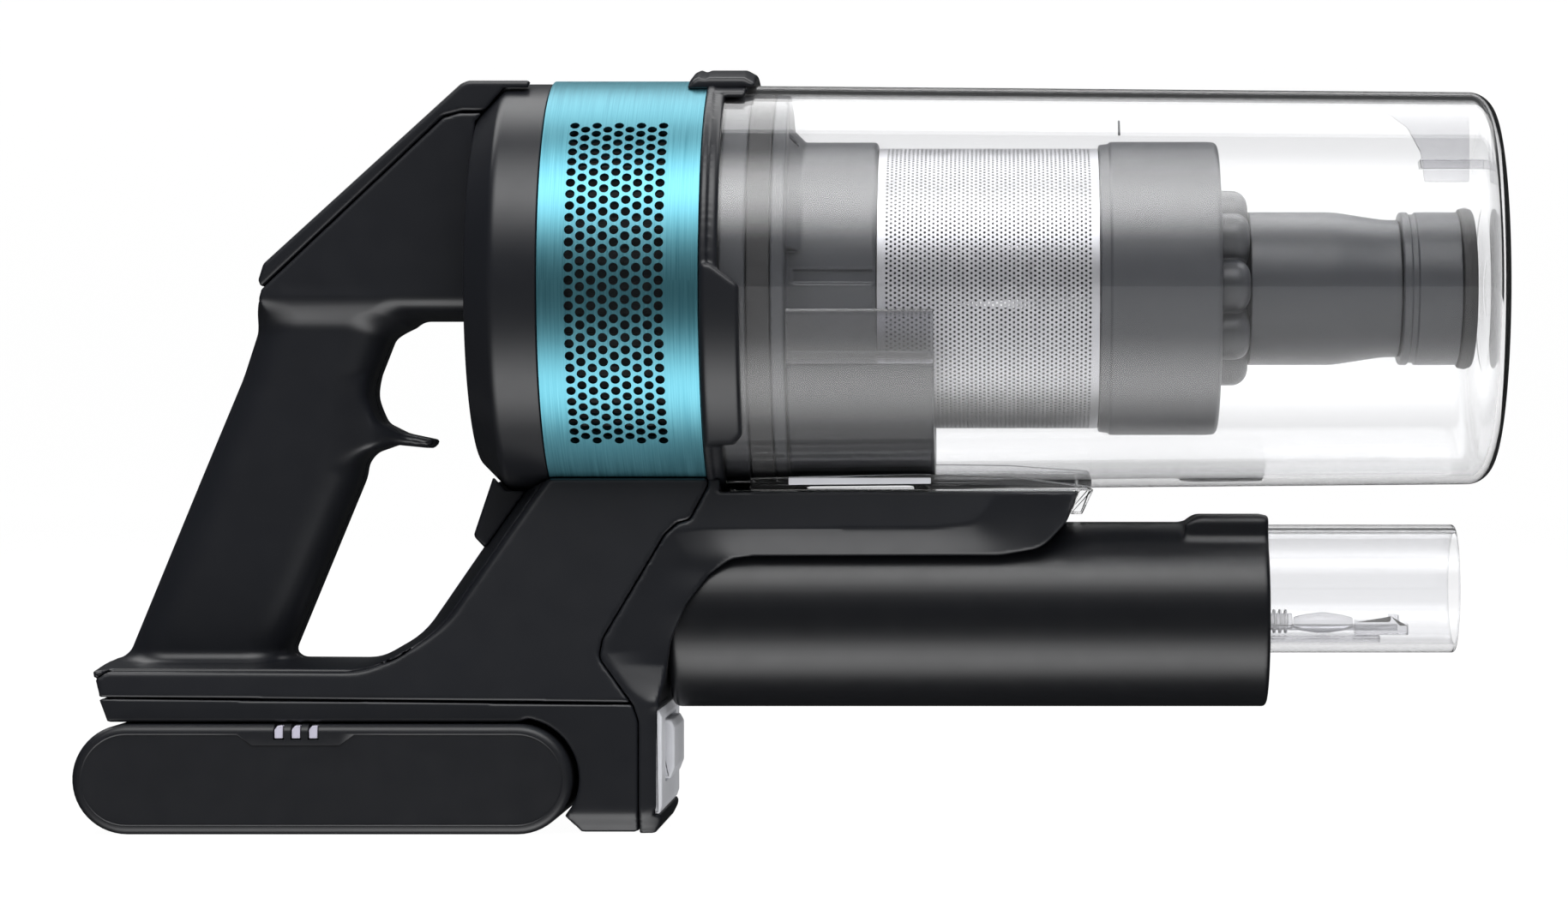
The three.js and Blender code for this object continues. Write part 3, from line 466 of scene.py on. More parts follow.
def cut_from(obj, *cutters):
    """Cuts tool objects out of obj for good and removes them."""
    for cutter in cutters:
        modifier = obj.modifiers.new("cut", "BOOLEAN")
        modifier.operation = "DIFFERENCE"
        modifier.solver = "EXACT"
        modifier.object = cutter
    graph = bpy.context.evaluated_depsgraph_get()
    mesh = bpy.data.meshes.new_from_object(obj.evaluated_get(graph))
    obj.modifiers.clear()
    obj.data = mesh
    for cutter in cutters:
        bpy.data.objects.remove(cutter, do_unlink=True)


def tool(verts, faces):
    """A closed solid in millimetres to cut with."""
    mesh = bpy.data.meshes.new("tool")
    mesh.from_pydata((np.asarray(verts, float) * MM).tolist(), [], [list(map(int, face)) for face in faces])
    made = bmesh.new()
    made.from_mesh(mesh)
    bmesh.ops.remove_doubles(made, verts=made.verts, dist=1e-7)
    bmesh.ops.recalc_face_normals(made, faces=made.faces)
    made.to_mesh(mesh)
    made.free()
    obj = bpy.data.objects.new("tool", mesh)
    bpy.context.scene.collection.objects.link(obj)
    return obj


def block(x0, x1, y0, y1, z0, z1):
    corners = [(x, y, z) for x in (x0, x1) for y in (y0, y1) for z in (z0, z1)]
    return corners, [(0, 1, 3, 2), (4, 6, 7, 5), (0, 4, 5, 1), (2, 3, 7, 6), (0, 2, 6, 4), (1, 5, 7, 3)]


# ---------------------------------------------------------------- distance fields for the moulded shells


def outline_distance(outline, u, v):
    """Distance from (u, v) to a closed outline, negative inside."""
    u, v = np.broadcast_arrays(u, v)
    nearest = np.full(u.shape, 1e9, np.float32)
    sign = np.ones(u.shape, np.float32)
    for (au, av), (bu, bv) in zip(outline, outline[1:] + outline[:1]):
        eu, ev = bu - au, bv - av
        wu, wv = u - au, v - av
        t = np.clip((wu * eu + wv * ev) / (eu * eu + ev * ev), 0, 1)
        nearest = np.minimum(nearest, (wu - eu * t) ** 2 + (wv - ev * t) ** 2)
        above = v >= av
        below_next = v < bv
        left = eu * wv > ev * wu
        sign = np.where((above & below_next & left) | ~(above | below_next | left), -sign, sign)
    return sign * np.sqrt(nearest)


def both(a, b, radius=0.0):
    """What two fields share, with its outer edge rounded."""
    if radius == 0:
        return np.maximum(a, b)
    corner = np.hypot(np.maximum(a + radius, 0), np.maximum(b + radius, 0))
    return np.minimum(np.maximum(a, b), -radius) + corner


def either(a, b, radius=0.0):
    """Two fields joined, with a fillet in the corner between them."""
    if radius == 0:
        return np.minimum(a, b)
    corner = np.hypot(np.maximum(radius - a, 0), np.maximum(radius - b, 0))
    return np.maximum(np.minimum(a, b), radius) - corner


def without(a, b, radius=0.0):
    return both(a, -b, radius)


def blend(value, start, end):
    t = np.clip((value - start) / (end - start), 0, 1)
    return t * t * (3 - 2 * t)


def about(y, z, height=None):
    """Distance from a line along X."""
    return np.hypot(y, z - (AXIS_Z if height is None else height))


def field_mesh(field, lowest, highest, voxel=None):
    """Vertices and faces where the field is zero, each vertex moved onto the true surface."""
    voxel = voxel or VOXEL
    lowest = np.array(lowest, float) - 2.5 * voxel
    counts = [int(math.ceil((h - l) / voxel)) + 4 for l, h in zip(lowest, highest)]
    axes = [(l + voxel * np.arange(n)).astype(np.float32) for l, n in zip(lowest, counts)]
    x, y, z = axes[0][:, None, None], axes[1][None, :, None], axes[2][None, None, :]
    values = np.broadcast_to(field(x, y, z), counts).astype(np.float32)
    grid = openvdb.FloatGrid(3 * voxel)
    grid.copyFromArray(np.clip(values, -3 * voxel, 3 * voxel))
    points, quads = grid.convertToQuads(0.0)
    points = points.astype(np.float64) * voxel + lowest
    tiny = 0.02
    start = points.copy()
    for _ in range(4):
        px, py, pz = points.T
        here = field(px, py, pz)
        slope = np.stack([field(px + tiny, py, pz), field(px, py + tiny, pz), field(px, py, pz + tiny)], 1)
        slope = (slope - here[:, None]) / tiny
        size = np.maximum((slope**2).sum(1), 0.25)
        step = np.clip(here / size, -voxel, voxel)
        points = points - slope * step[:, None]
    moved = points - start
    length = np.maximum(np.linalg.norm(moved, axis=1), 1e-9)
    return start + moved * (np.minimum(length, 0.8 * voxel) / length)[:, None], quads


def moulded(name, field, lowest, highest, nodes, voxel=None):
    return piece(name, *field_mesh(field, lowest, highest, voxel), nodes)


def mirrored_pair(name, field, lowest, highest, nodes):
    """The right half, y below zero, and its mirror image on the left."""
    verts, faces = field_mesh(field, lowest, highest)
    piece(name + "_right", verts, faces, [nodes[1]])
    piece(name + "_left", verts * (1, -1, 1), faces, [nodes[0]])


# Motor unit's envelope, (x, radius), with the clearance that the housings leave round it
MOTOR_SPACE = [
    (CAP_BACK - GAP, -1), (20, -1), (20, RING_R + GAP), (CAP_BACK + 7.7, RING_R + GAP),
    (CAP_BACK - GAP, 49 + GAP),
]


def motor_space(x, y, z):
    return outline_distance(MOTOR_SPACE, x, about(y, z))


# ---------------------------------------------------------------- housing: grip, bridge, hook, base and arm

FREE = fillet(
    [
        (-230, 20), (0, 20), (0, 110), (-64.9, 110), (-103.4, 53.8, 22), (-116, 46.4, 18),
        (-150, 46.6),
        (-189, 46.6), (-230, 46.6),
    ],
    turn=8,
)
END = [(-183, 20), (-188.4, 36.8), (-190.3, 43.9), (-188.6, 50), (-188.6, 120), (0, 120), (0, 20)]
SEAM = fillet(
    [
        (-300, -20), (-41.7, -20), (-41.7, 30.6, 4), (-43.3, 35.2, 3), (-52.6, 47.9, 3.5),
        (-51.7, 53, 4),
        (-35.1, 81.5, 4), (-31.6, 84.8, 3), (-28.2, 85.6, 2), (-23.4, 94.8), (-23.4, 260),
        (-300, 260),
    ],
    turn=12,
)
COVER = fillet(
    [
        (-188.3, 37.3), (-43.9, 35.9), (-52.6, 47.9, 3.5), (-51.7, 53, 4), (-35.1, 81.5, 4),
        (-31.6, 84.8, 3),
        (-28.2, 85.6, 2), (-23.4, 94.8), (-22, 110), (-58.9, 110), (-97.4, 55, 18), (-108, 47, 14),
        (-122, 44.1), (-186, 44.1, 0), (-189.5, 42),
    ],
    turn=12,
)
GRIP = fillet(
    [
        (-190, 36), (-141.6, 36), (-141.2, 48), (-121.1, 96.8, 10), (-119.3, 108, 8),
        (-118.7, 121, 14),
        (-113, 135.6, 6), (-108.6, 139.6), (-108, 150), (-143, 153), (-146.6, 147.6),
        (-147.4, 143.5, 6),
        (-153.4, 124.8, 30), (-165.3, 96.2), (-185.1, 48),
    ],
    turn=8,
)
HOOK = fillet(
    [
        (-128, 101), (-120, 103.5, 4), (-112, 106.1, 4), (-102.2, 105.1, 1.1), (-99.9, 107.4, 1.1),
        (-109, 109.3, 8), (-115.4, 112.2, 4), (-118.9, 119, 5), (-119.6, 124), (-128, 126),
    ],
    turn=12,
)
UPPER = [
    (-149.6, 132), (-60, 132), (-60, 197.4), (-92.1, 197.4), (-96.5, 196), (-146.4, 148.9),
    (-147.6, 145),
]
DOCK_LINE = ((-188.4, 36.8), (-43.3, 35.2))


def dock_height(x):
    (x0, z0), (x1, z1) = DOCK_LINE
    return z0 + (x - x0) * (z1 - z0) / (x1 - x0)


def side_half(z):
    """Half the width of base, arm and saddle: straight below, leaning in above."""
    return BASE_HALF - (BASE_HALF - ARM_TOP_HALF) * np.clip((z - 37) / 62, -0.02, 1.2)


def crown(a, z):
    """How far the arm's top and back fall away towards its sides."""
    return (2.3 + 3.6 * blend(z, 47, 60)) * (a / side_half(z)) ** 2


def foot_rounding(z):
    """How far the foot's sides lean in near the ground."""
    return 2.6 * blend(-z, -9, -0.3) ** 2


def arm_skin(x, y, z):
    """Outer surface of base and arm, with its crowned top and back."""
    a = np.abs(y)
    top = outline_distance(FREE, x, z) + crown(a, z)
    end = outline_distance(END, x, z)
    body = both(top, end, 0.8)
    return both(body, (a - side_half(z)) * 0.988, 1.3)


def grip_skin(x, y, z):
    a = np.abs(y)
    handle = both(outline_distance(GRIP, x, z), a - GRIP_HALF, 11)
    sides = a - UPPER_HALF
    upper = both(outline_distance(UPPER, x, z), sides, 0.5)
    underside = 140.5 + 3.3 * (a / UPPER_HALF) ** 2 - z
    upper = both(upper, underside, 3.5)
    reach = 8.5 + 5.5 * blend(-x, 107, 118)
    hook = both(outline_distance(HOOK, x, z), a - reach, 2.6)
    return either(either(handle, upper, 6), hook, 3.5)


def housing(x, y, z):
    """The right half of the housing as a hollow shell."""
    a = np.abs(y)
    arm = both(arm_skin(x, y, z), outline_distance(SEAM, x, z), 0.35)
    seat = both(outline_distance(COVER, x, z) - GAP, side_half(z) - 3.3 - a)
    arm = without(arm, seat, 0.2)
    outer = either(arm, grip_skin(x, y, z), 3.6)
    outer = without(outer, motor_space(x, y, z), 0.6)
    outer = both(outer, dock_height(x) + GAP - z, 0.12)
    shell = np.maximum(outer, -(outer + 2.4))
    return np.maximum(shell, y + GAP / 2)


def arm_cover(x, y, z):
    skin = both(arm_skin(x, y, z), outline_distance(COVER, x, z), 0.45)
    skin = without(skin, motor_space(x, y, z), 1.0)
    skin = both(skin, side_half(z) - 3 - np.abs(y), 0.2)
    return np.maximum(skin, y)


def screw_holes(obj):
    tools = []
    for x, z, half in SCREWS:
        profile = [(half - 4.2, 0), (half - 4.2, 3.5), (half + 12, 3.5), (half + 12, 0)]
        verts, faces = lathe(profile, 48, 0)
        verts = [(x + v[1], v[0], z + v[2]) for v in verts]
        tools.append(tool(verts, faces))
    cut_from(obj, *tools)


def build_housing():
    mirrored_pair("housing", housing, (-191, -34, 35), (-23, 0, 199), ("housing_left", "housing_right"))
    screw_holes(bpy.data.objects["housing_left"])
    covers = ("arm_cover_left", "arm_cover_right")
    mirrored_pair("arm_cover", arm_cover, (-190, -34, 35), (-22, -20, 99), covers)


# ---------------------------------------------------------------- dock and foot

DOCK = fillet(
    [
        (-188.6, 37.5), (-186.0, 30.5, 0.5), (-74.3, 30.5)]
    + [(-74.3 + 16.6 * math.sin(t), 15 + 16.6 * math.cos(t)) for t in np.radians(np.arange(10, 122, 8))]
    + [(-61.6, 4.9, 0.6), (-57.0, 0.3, 0.6), (-41.7, 0.3), (-41.7, 30.6, 4), (-43.3, 35.2, 2), (-44.3, 37.5)],
    turn=15,
)


def dock(x, y, z):
    a = np.abs(y)
    body = both(outline_distance(DOCK, x, z), a - BASE_HALF, 0.8)
    body = both(body, 0.3 - z, 0.4)
    body = both(body, a - BASE_HALF + foot_rounding(z), 0.4)
    body = both(body, z - dock_height(x), 0.12)
    tongue = np.maximum(np.maximum(a - 31, z - dock_height(x) - 1.2), np.maximum(-187 - x, x + 46))
    body = np.minimum(body, np.maximum(tongue, 33 - z))
    neck = np.maximum(a - 11, np.maximum(z - 34.3, x + 70.3))
    head = np.maximum(a - 14, np.maximum(np.maximum(z - 36.2, 33.4 - z), x + 70.3))
    seat = np.maximum(a - 16, np.maximum(33.2 - z, np.maximum(x + 60, -70.4 - x)))
    slot = np.minimum(np.minimum(neck, head), seat)
    return without(body, slot, 0.3)


# ---------------------------------------------------------------- front bracket: strip, saddle and toe

BRACKET = fillet(
    [
        (-41.4, 0, 0.5), (-37.0, 0, 1.2), (-35.4, 3.2, 1.5), (-35.4, 33.9, 0.8), (-36.2, 35.5, 1),
        (-34.7, 41.6), (-33.2, 52.5, 14), (-28.8, 62.6, 10), (-22.7, 70.6, 8), (-17, 74.6, 6),
        (-11, 75.4), (57, 75.6, 14),
        (68.5, 77.6, 10), (75.4, 84.8, 10), (78.2, 93), (78, 93.1), (-20, 93.1), (-20, 98),
        (-23.1, 98),
        (-23.1, 94.7), (-27.9, 85.5, 2), (-31.3, 84.5, 3), (-34.8, 81.3, 4), (-51.4, 53, 4),
        (-52.3, 47.9, 3.5),
        (-43, 35.3, 3), (-41.4, 30.6, 4),
    ],
    turn=12,
)
RIDGE = fillet(
    [
        (-80, 30), (-43, 30), (-41.8, 36.6, 2), (-50.6, 49.4, 2), (-37.6, 76.4, 5),
        (-32.4, 82.3, 4),
        (-24, 83.0), (38, 83.1, 14), (50.5, 84.6, 5), (57.4, 94.8), (60, 110), (-80, 110),
    ],
    turn=10,
)
DUCT_SIDE = fillet(
    [
        (-36.9, 20), (-36.9, 33.9), (-34.4, 41.6), (-32.9, 52.5, 14), (-28.5, 62.4, 10),
        (-22.5, 70.3, 8), (-17, 74.3, 6),
        (-11, 75.1), (57, 75.3, 14), (68.8, 77.3, 10), (75.8, 84.6, 10), (79, 95), (80, 110),
        (140, 110), (140, 20),
    ],
    turn=12,
)


def bracket_half(x, z):
    """Half width of the bracket: the side face above the ridge, then a band that leans in to the duct."""
    below = np.maximum(outline_distance(RIDGE, x, z), 0)
    above = np.maximum(outline_distance(DUCT_SIDE, x, z), 0.01)
    share = below / (below + above)
    duct = np.sqrt(np.maximum(DUCT_R**2 - (z - DUCT_Z) ** 2, 0)) + 1.4
    inner = (duct + 22.8 + np.sqrt((duct - 22.8) ** 2 + 6)) / 2
    inner = np.where(z < DUCT_Z, DUCT_R + 1.7, inner)
    strip = np.clip((46 - z) / 11.5, 0, 1)
    return side_half(z) + (inner - side_half(z)) * share * (1 - strip)


def bracket(x, y, z):
    a = np.abs(y)
    body = outline_distance(BRACKET, x, z)
    body = both(body, (a - bracket_half(x, z)) * 0.85, 0.5)
    rounding = 0.05 * np.maximum(x + 41.4, 0) ** 2 * blend(-z, -38, -32)
    body = both(body, a - BASE_HALF + rounding + foot_rounding(z), 0.5)
    plate = np.maximum(np.maximum(-37.6 - x, a - 32.3), np.abs(z - 19.6) - 14.5)
    body = without(body, plate, 0.2)
    duct = np.maximum(about(y, z, DUCT_Z) - DUCT_R - GAP, -34.9 - x)
    body = without(body, duct, 0.4)
    body = without(body, np.maximum(about(y, z) - COLLAR_R - GAP, x + 19.1), 0.4)
    port = np.maximum(np.abs(x - PORT_X) - PORT_HALF_X, np.maximum(a - PORT_HALF_Y, 60 - z))
    gasket = np.maximum(np.abs(x - PORT_X) - 18.3, np.maximum(a - 14.3, 90.7 - z))
    body = without(body, np.minimum(port, gasket), 0.3)
    button = np.maximum(np.maximum(-43 - x, a - 19), np.abs(z - 22) - 9)
    return without(body, button, 0.3)


# ---------------------------------------------------------------- intake duct

def duct(x, y, z):
    a = np.abs(y)
    radius = about(y, z, DUCT_Z)
    body = both(radius - DUCT_R, -34.4 - x, 2.5)
    slope = (z - 84.4 - (x - 108.6) * 0.75) * 0.8
    hood = both(both(a - 15, z - HOOD_TOP, 2.5), np.maximum(slope, 108 - x), 0.8)
    hood = np.maximum(hood, 60 - z)
    body = either(body, hood, 1.6)
    body = both(body, x - DUCT_FRONT, 1.2)
    inside = np.maximum(radius - DUCT_R + 2.4, np.maximum(-30 - x, x - 109))
    tube = np.maximum(about(y, z, TUBE_Z) - TUBE_R - GAP, 108 - x)
    port = np.maximum(np.abs(x - PORT_X) - PORT_HALF_X, np.maximum(a - PORT_HALF_Y, DUCT_Z - z))
    return without(body, np.minimum(np.minimum(inside, tube), port), 0.4)


# ---------------------------------------------------------------- control panel and its buttons

PANEL_LOW, PANEL_HIGH = (-146, 155.9), (-91, 205.8)
PANEL_ANGLE = math.atan2(PANEL_HIGH[1] - PANEL_LOW[1], PANEL_HIGH[0] - PANEL_LOW[0])
PANEL = fillet(
    [
        (-147.4, 151.4, 1.5), (-146.6, 149.4, 0.5), (-96.5, 196.6, 3), (-91, 198, 2), (-68, 197.8),
        (-68, 206.4),
        (-89.5, 206.4, 3), (-91.5, 205.6, 3), (-146, 155.9, 2.5),
    ],
    turn=15,
)
POWER_AT, POWER_R = 15, 6.5
STEP_AT, STEP_R, STEP_ACROSS = 30, 4.2, 8
DISPLAY_FROM, DISPLAY_TO, DISPLAY_HALF, DISPLAY_DEPTH = 38, 66, 15, 1.4


def on_panel(x, z):
    """(along the slope, out of the face) for a point in the frame."""
    c, s = math.cos(PANEL_ANGLE), math.sin(PANEL_ANGLE)
    dx, dz = x - PANEL_LOW[0], z - PANEL_LOW[1]
    return dx * c + dz * s, dz * c - dx * s


def panel(x, y, z):
    a = np.abs(y)
    along, out = on_panel(x, z)
    body = both(outline_distance(PANEL, x, z), a - UPPER_HALF, 1.1)
    body = without(body, motor_space(x, y, z), 0.5)
    body = both(body, x + 72.8, 0.5)
    seats = np.hypot(along - POWER_AT, y) - POWER_R - GAP
    seats = np.minimum(seats, np.hypot(along - STEP_AT, a - STEP_ACROSS) - STEP_R - GAP)
    window = both(np.abs(along - (DISPLAY_FROM + DISPLAY_TO) / 2) - 14 - GAP, a - DISPLAY_HALF - GAP, 2.5)
    window = np.maximum(window, -DISPLAY_DEPTH - GAP - out)
    return without(body, np.minimum(seats, window), 0.25)


def to_panel(verts):
    """From (along, across, out) over the panel to the frame's axes."""
    verts = np.asarray(verts, float)
    c, s = math.cos(PANEL_ANGLE), math.sin(PANEL_ANGLE)
    along, across, out = verts.T
    return np.stack([PANEL_LOW[0] + along * c - out * s, across, PANEL_LOW[1] + along * s + out * c], 1)


def mark(name, along, across, bars, radius, node_name):
    """A raised sign of one or two bars on a button's face."""
    for i, (half_a, half_b) in enumerate(bars):
        signs = ((-1, -1), (1, -1), (1, 1), (-1, 1))
        outline = fillet([(half_a * u, half_b * v, 0.3) for u, v in signs], turn=30)
        verts, faces = slab(outline, 0, 0.5, 0.12, 2)
        verts = [(along + x, across + z, radius + y) for x, y, z in verts]
        pale = MATERIALS["pale_grey_plastic"]
        flat_shading(piece(f"{name}_{i + 1}", to_panel(verts), faces, [node_name], material=pale))


def button(name, along, across, radius):
    face = 0.8
    profile = fillet(
        [
            (-5.2, 0), (-5.2, radius, 0.2), (face, radius, 0.6), (face, radius * 0.72, 0),
            (face - 0.35, radius * 0.6), (face - 0.55, radius * 0.3), (face - 0.6, 0),
        ],
        closed=False, turn=18,
    )
    verts, faces = lathe(profile, 96, 0)
    verts = [(along + v[1], across + v[2], v[0]) for v in verts]
    obj = piece(name, to_panel(verts), faces, [name])
    flat_shading(obj)


def build_panel():
    moulded("control_panel", panel, (-148, -21, 148), (-72, 21, 207), ["control_panel"], VOXEL * 0.7)
    button("power_button", POWER_AT, 0, POWER_R)
    button("plus_button", STEP_AT, -STEP_ACROSS, STEP_R)
    button("minus_button", STEP_AT, STEP_ACROSS, STEP_R)
    mark("plus_sign", STEP_AT, -STEP_ACROSS, [(1.5, 0.28), (0.28, 1.5)], 0.1, "plus_button")
    mark("minus_sign", STEP_AT, STEP_ACROSS, [(0.28, 1.5)], 0.1, "minus_button")
    mark("power_sign", POWER_AT, 0, [(1.9, 0.3)], 0.1, "power_button")
    corners = [
        (DISPLAY_FROM, -DISPLAY_HALF, 2.5), (DISPLAY_TO, -DISPLAY_HALF, 2.5),
        (DISPLAY_TO, DISPLAY_HALF, 2.5),
        (DISPLAY_FROM, DISPLAY_HALF, 2.5),
    ]
    verts, faces = slab(fillet(corners, turn=10), -DISPLAY_DEPTH, 0, 0.3)
    verts = [(x, z, y) for x, y, z in verts]
    flat_shading(piece("display_window", to_panel(verts), faces, ["display_window"]))


# ---------------------------------------------------------------- motor unit: cap, ring, collar, latch, lug

VENT_FIRST, VENT_COLUMNS, VENT_PITCH, VENT_HOLE_R = -59.7, 9, 3.0, 1.28
VENT_TURN = 106  # hole pitches in a full turn
VENT_ROWS = 14  # rows above and below the middle of each side


def hole_sheet(columns, half_steps, has_hole, hole_r, radius, corners):
    """A flat sheet with holes, in columns of x and half_steps round.

    Where has_hole(column, step) is true, a cell of two steps with a hole starts.
    """
    points = {}
    verts = []

    def vertex(key, x, angle):
        if key not in points:
            points[key] = len(verts)
            verts.append((x, angle))
        return points[key]

    def grid_point(column, step):
        step %= half_steps
        return vertex((column, step), columns[column], 2 * math.pi * step / half_steps)

    faces = []
    step_angle = 2 * math.pi / half_steps
    for column in range(len(columns) - 1):
        step = 0
        taken = set()
        while step < half_steps:
            if has_hole(column, step):
                rim = [
                    grid_point(column, step),
                    grid_point(column + 1, step), grid_point(column + 1, step + 1),
                    grid_point(column + 1, step + 2),
                    grid_point(column, step + 2), grid_point(column, step + 1),
                ]
                mid_x = (columns[column] + columns[column + 1]) / 2
                mid_angle = (step + 1) * step_angle
                start = math.atan2(-step_angle * radius, -(columns[column + 1] - columns[column]) / 2)
                hole = []
                for k in range(corners):
                    t = start + 2 * math.pi * k / corners
                    hole.append(len(verts))
                    verts.append((mid_x + hole_r * math.cos(t), mid_angle + hole_r * math.sin(t) / radius))
                share = corners // 6
                for i in range(6):
                    inner = [hole[(i * share + k) % corners] for k in range(share, -1, -1)]
                    faces.append([rim[i], rim[(i + 1) % 6], *inner])
                taken.update((step % half_steps, (step + 1) % half_steps))
                step += 2
            else:
                if step % half_steps not in taken:
                    faces.append([
                        grid_point(column, step), grid_point(column + 1, step),
                        grid_point(column + 1, step + 1), grid_point(column, step + 1),
                    ])
                step += 1
    return np.array(verts), faces


def rolled(sheet, faces, outer, thickness):
    """The flat sheet of (x, angle) points rolled to a radius and given its thickness."""
    x, angle = sheet.T
    rings = [
        np.stack([x, r * np.cos(angle), AXIS_Z + r * np.sin(angle)], 1) for r in (outer, outer - thickness)
    ]
    count = len(sheet)
    used = {}
    for face in faces:
        for a, b in zip(face, face[1:] + face[:1]):
            used[(a, b)] = True
    walls = [(a, a + count, b + count, b) for a, b in used if (b, a) not in used]
    back = [[i + count for i in reversed(face)] for face in faces]
    return np.concatenate(rings), list(faces) + back + walls


def vent_ring():
    columns = [RING_BACK, RING_BACK + 0.5, *(VENT_FIRST + VENT_PITCH * k for k in range(VENT_COLUMNS + 1)),
               RING_FRONT - 0.5, RING_FRONT]
    half_steps = 2 * VENT_TURN

    def has_hole(column, step):
        index = column - 2
        if not 0 <= index < VENT_COLUMNS:
            return False
        shift = index % 2
        centre = (step + 1) % VENT_TURN  # both sides of the ring are alike
        offset = centre if centre <= VENT_TURN / 2 else centre - VENT_TURN
        return offset % 2 == shift and abs(offset) <= 2 * VENT_ROWS - shift

    sheet, faces = hole_sheet(columns, half_steps, has_hole, VENT_HOLE_R, RING_R, 18)
    piece("vent_ring", *rolled(sheet, faces, RING_R, RING_WALL), ["vent_ring"], sharp=40)


def rear_cap():
    back, wall = CAP_BACK, 2.5
    profile = fillet(
        [
            (back, 0), (back, 40, 0), (back, 49, 2.2), (back + 7.9, CAP_R, 3.5),
            (CAP_FRONT, CAP_R, 0.5),
            (CAP_FRONT, CAP_R - wall, 0.3), (back + 8.4, CAP_R - wall, 2), (back + wall, 48, 1),
            (back + wall, 0),
        ],
        closed=False, turn=9,
    )
    turned("rear_cap", profile, ["rear_cap"], 240)


PAD = fillet(
    [
        (-22.9, 154.5, 1), (-20.2, 154.2, 2), (-12.8, 148.6, 2), (-12.8, 108.6, 2),
        (-15.2, 106, 1), (-22.9, 105.6, 1),
    ],
    turn=15,
)
LATCH = fillet(
    [
        (-29.4, 57.9, 0.4), (-27.6, 60.2, 0.8), (-26.2, 60.85, 0.8), (-13.4, 60.85, 1.6),
        (-10.7, 59.4, 0.8),
        (-10.7, 58.5, 0.4), (-16, 57.9),
    ],
    turn=15,
)


def collar(x, y, z):
    """A flat ring with a raised rear rim, a pad on each side and the latch's seat on top."""
    radius = about(y, z)
    plate = both(np.abs(x + 21.0) - 2.4, np.maximum(radius - COLLAR_R, 36 - radius), 0.5)
    bevel = (radius - COLLAR_R) * 0.8 + (x + 19.6) * 0.6
    plate = both(plate, bevel, 0.2)
    rim = both(np.abs(x + 22.4) - 1.0, np.maximum(radius - COLLAR_R - 0.7, 50 - radius), 0.5)
    pad = both(outline_distance(PAD, x, z), radius - PAD_R, 1.3)
    pad = np.maximum(pad, BIN_BACK_R + 0.4 - radius)
    seat = both(np.maximum(radius - COLLAR_R - 0.2, BIN_BACK_R + 0.4 - radius), np.abs(x + 18.2) - 5.2, 0.3)
    seat = np.maximum(np.maximum(seat, np.abs(y) - 25), AXIS_Z - z)
    return either(either(either(plate, rim, 0.3), pad, 0.8), seat, 0.4)


def top_latch(x, y, z):
    """The catch wraps over the ring, so it follows the ring's round."""
    body = both(outline_distance(LATCH, x, about(y, z)), np.abs(y) - 21, 1.0)
    grip = np.hypot(x + 24.6, about(y, z) - 62.1) - 1.7
    return np.maximum(without(body, grip, 0.3), AXIS_Z - z)


def lug(x, y, z):
    a = np.abs(y)
    outline = fillet(
        [(-88.8, 80.8, 1.5), (-85.4, 77.2, 1.2), (-60, 77.2), (-60, 110), (-79.5, 110), (-83.7, 96)], turn=20
    )
    body = both(outline_distance(outline, x, z), a - 15, 1.2)
    back = outline_distance(FREE, x, z) + crown(a, z)
    body = without(body, back - GAP, 0.3)
    return without(body, motor_space(x, y, z) - 0.2, 0.4)


# ---------------------------------------------------------------- cyclone


def flange(x, y, z):
    """Rear ring with its gasket groove, a chamfered web and the neck."""
    radius = about(y, z)
    angle = np.degrees(np.arctan2(z - AXIS_Z, -y))
    ring = both(np.abs(x + 9.85) - 8.85, radius - FLANGE_R, 0.6)
    groove = np.maximum(np.abs(x + 8) - 3.4, 51.9 - radius)
    ring = without(ring, groove, 0.2)
    neck = both(radius - NECK_R, x - 23.3, 1.2)
    web_high = 0.86 * (radius - 41.5) + 0.86 * (x - 2.5)
    web = np.maximum(web_high * 0.82, np.maximum(x - 6.0, -2 - x))
    web = np.maximum(web, (np.abs(angle - 48) - 36) * 0.72)
    slot = np.maximum(np.hypot(x + 0.2, (angle - 66) * 0.8) - 1.6, -radius + 38)
    body = either(either(ring, neck, 0.5), web, 0.3)
    body = without(body, slot, 0.2)
    ribs = both(np.abs(z - AXIS_Z - 1.6) - 1.7, np.abs(radius - NECK_R) - 0.9, 0.3)
    body = without(body, np.maximum(ribs, np.maximum(x - 30, 0.5 - x)), 0.2)
    body = both(body, -18.7 - x, 0.3)
    return without(body, np.maximum(radius - 34, -30 - x), 0.3)


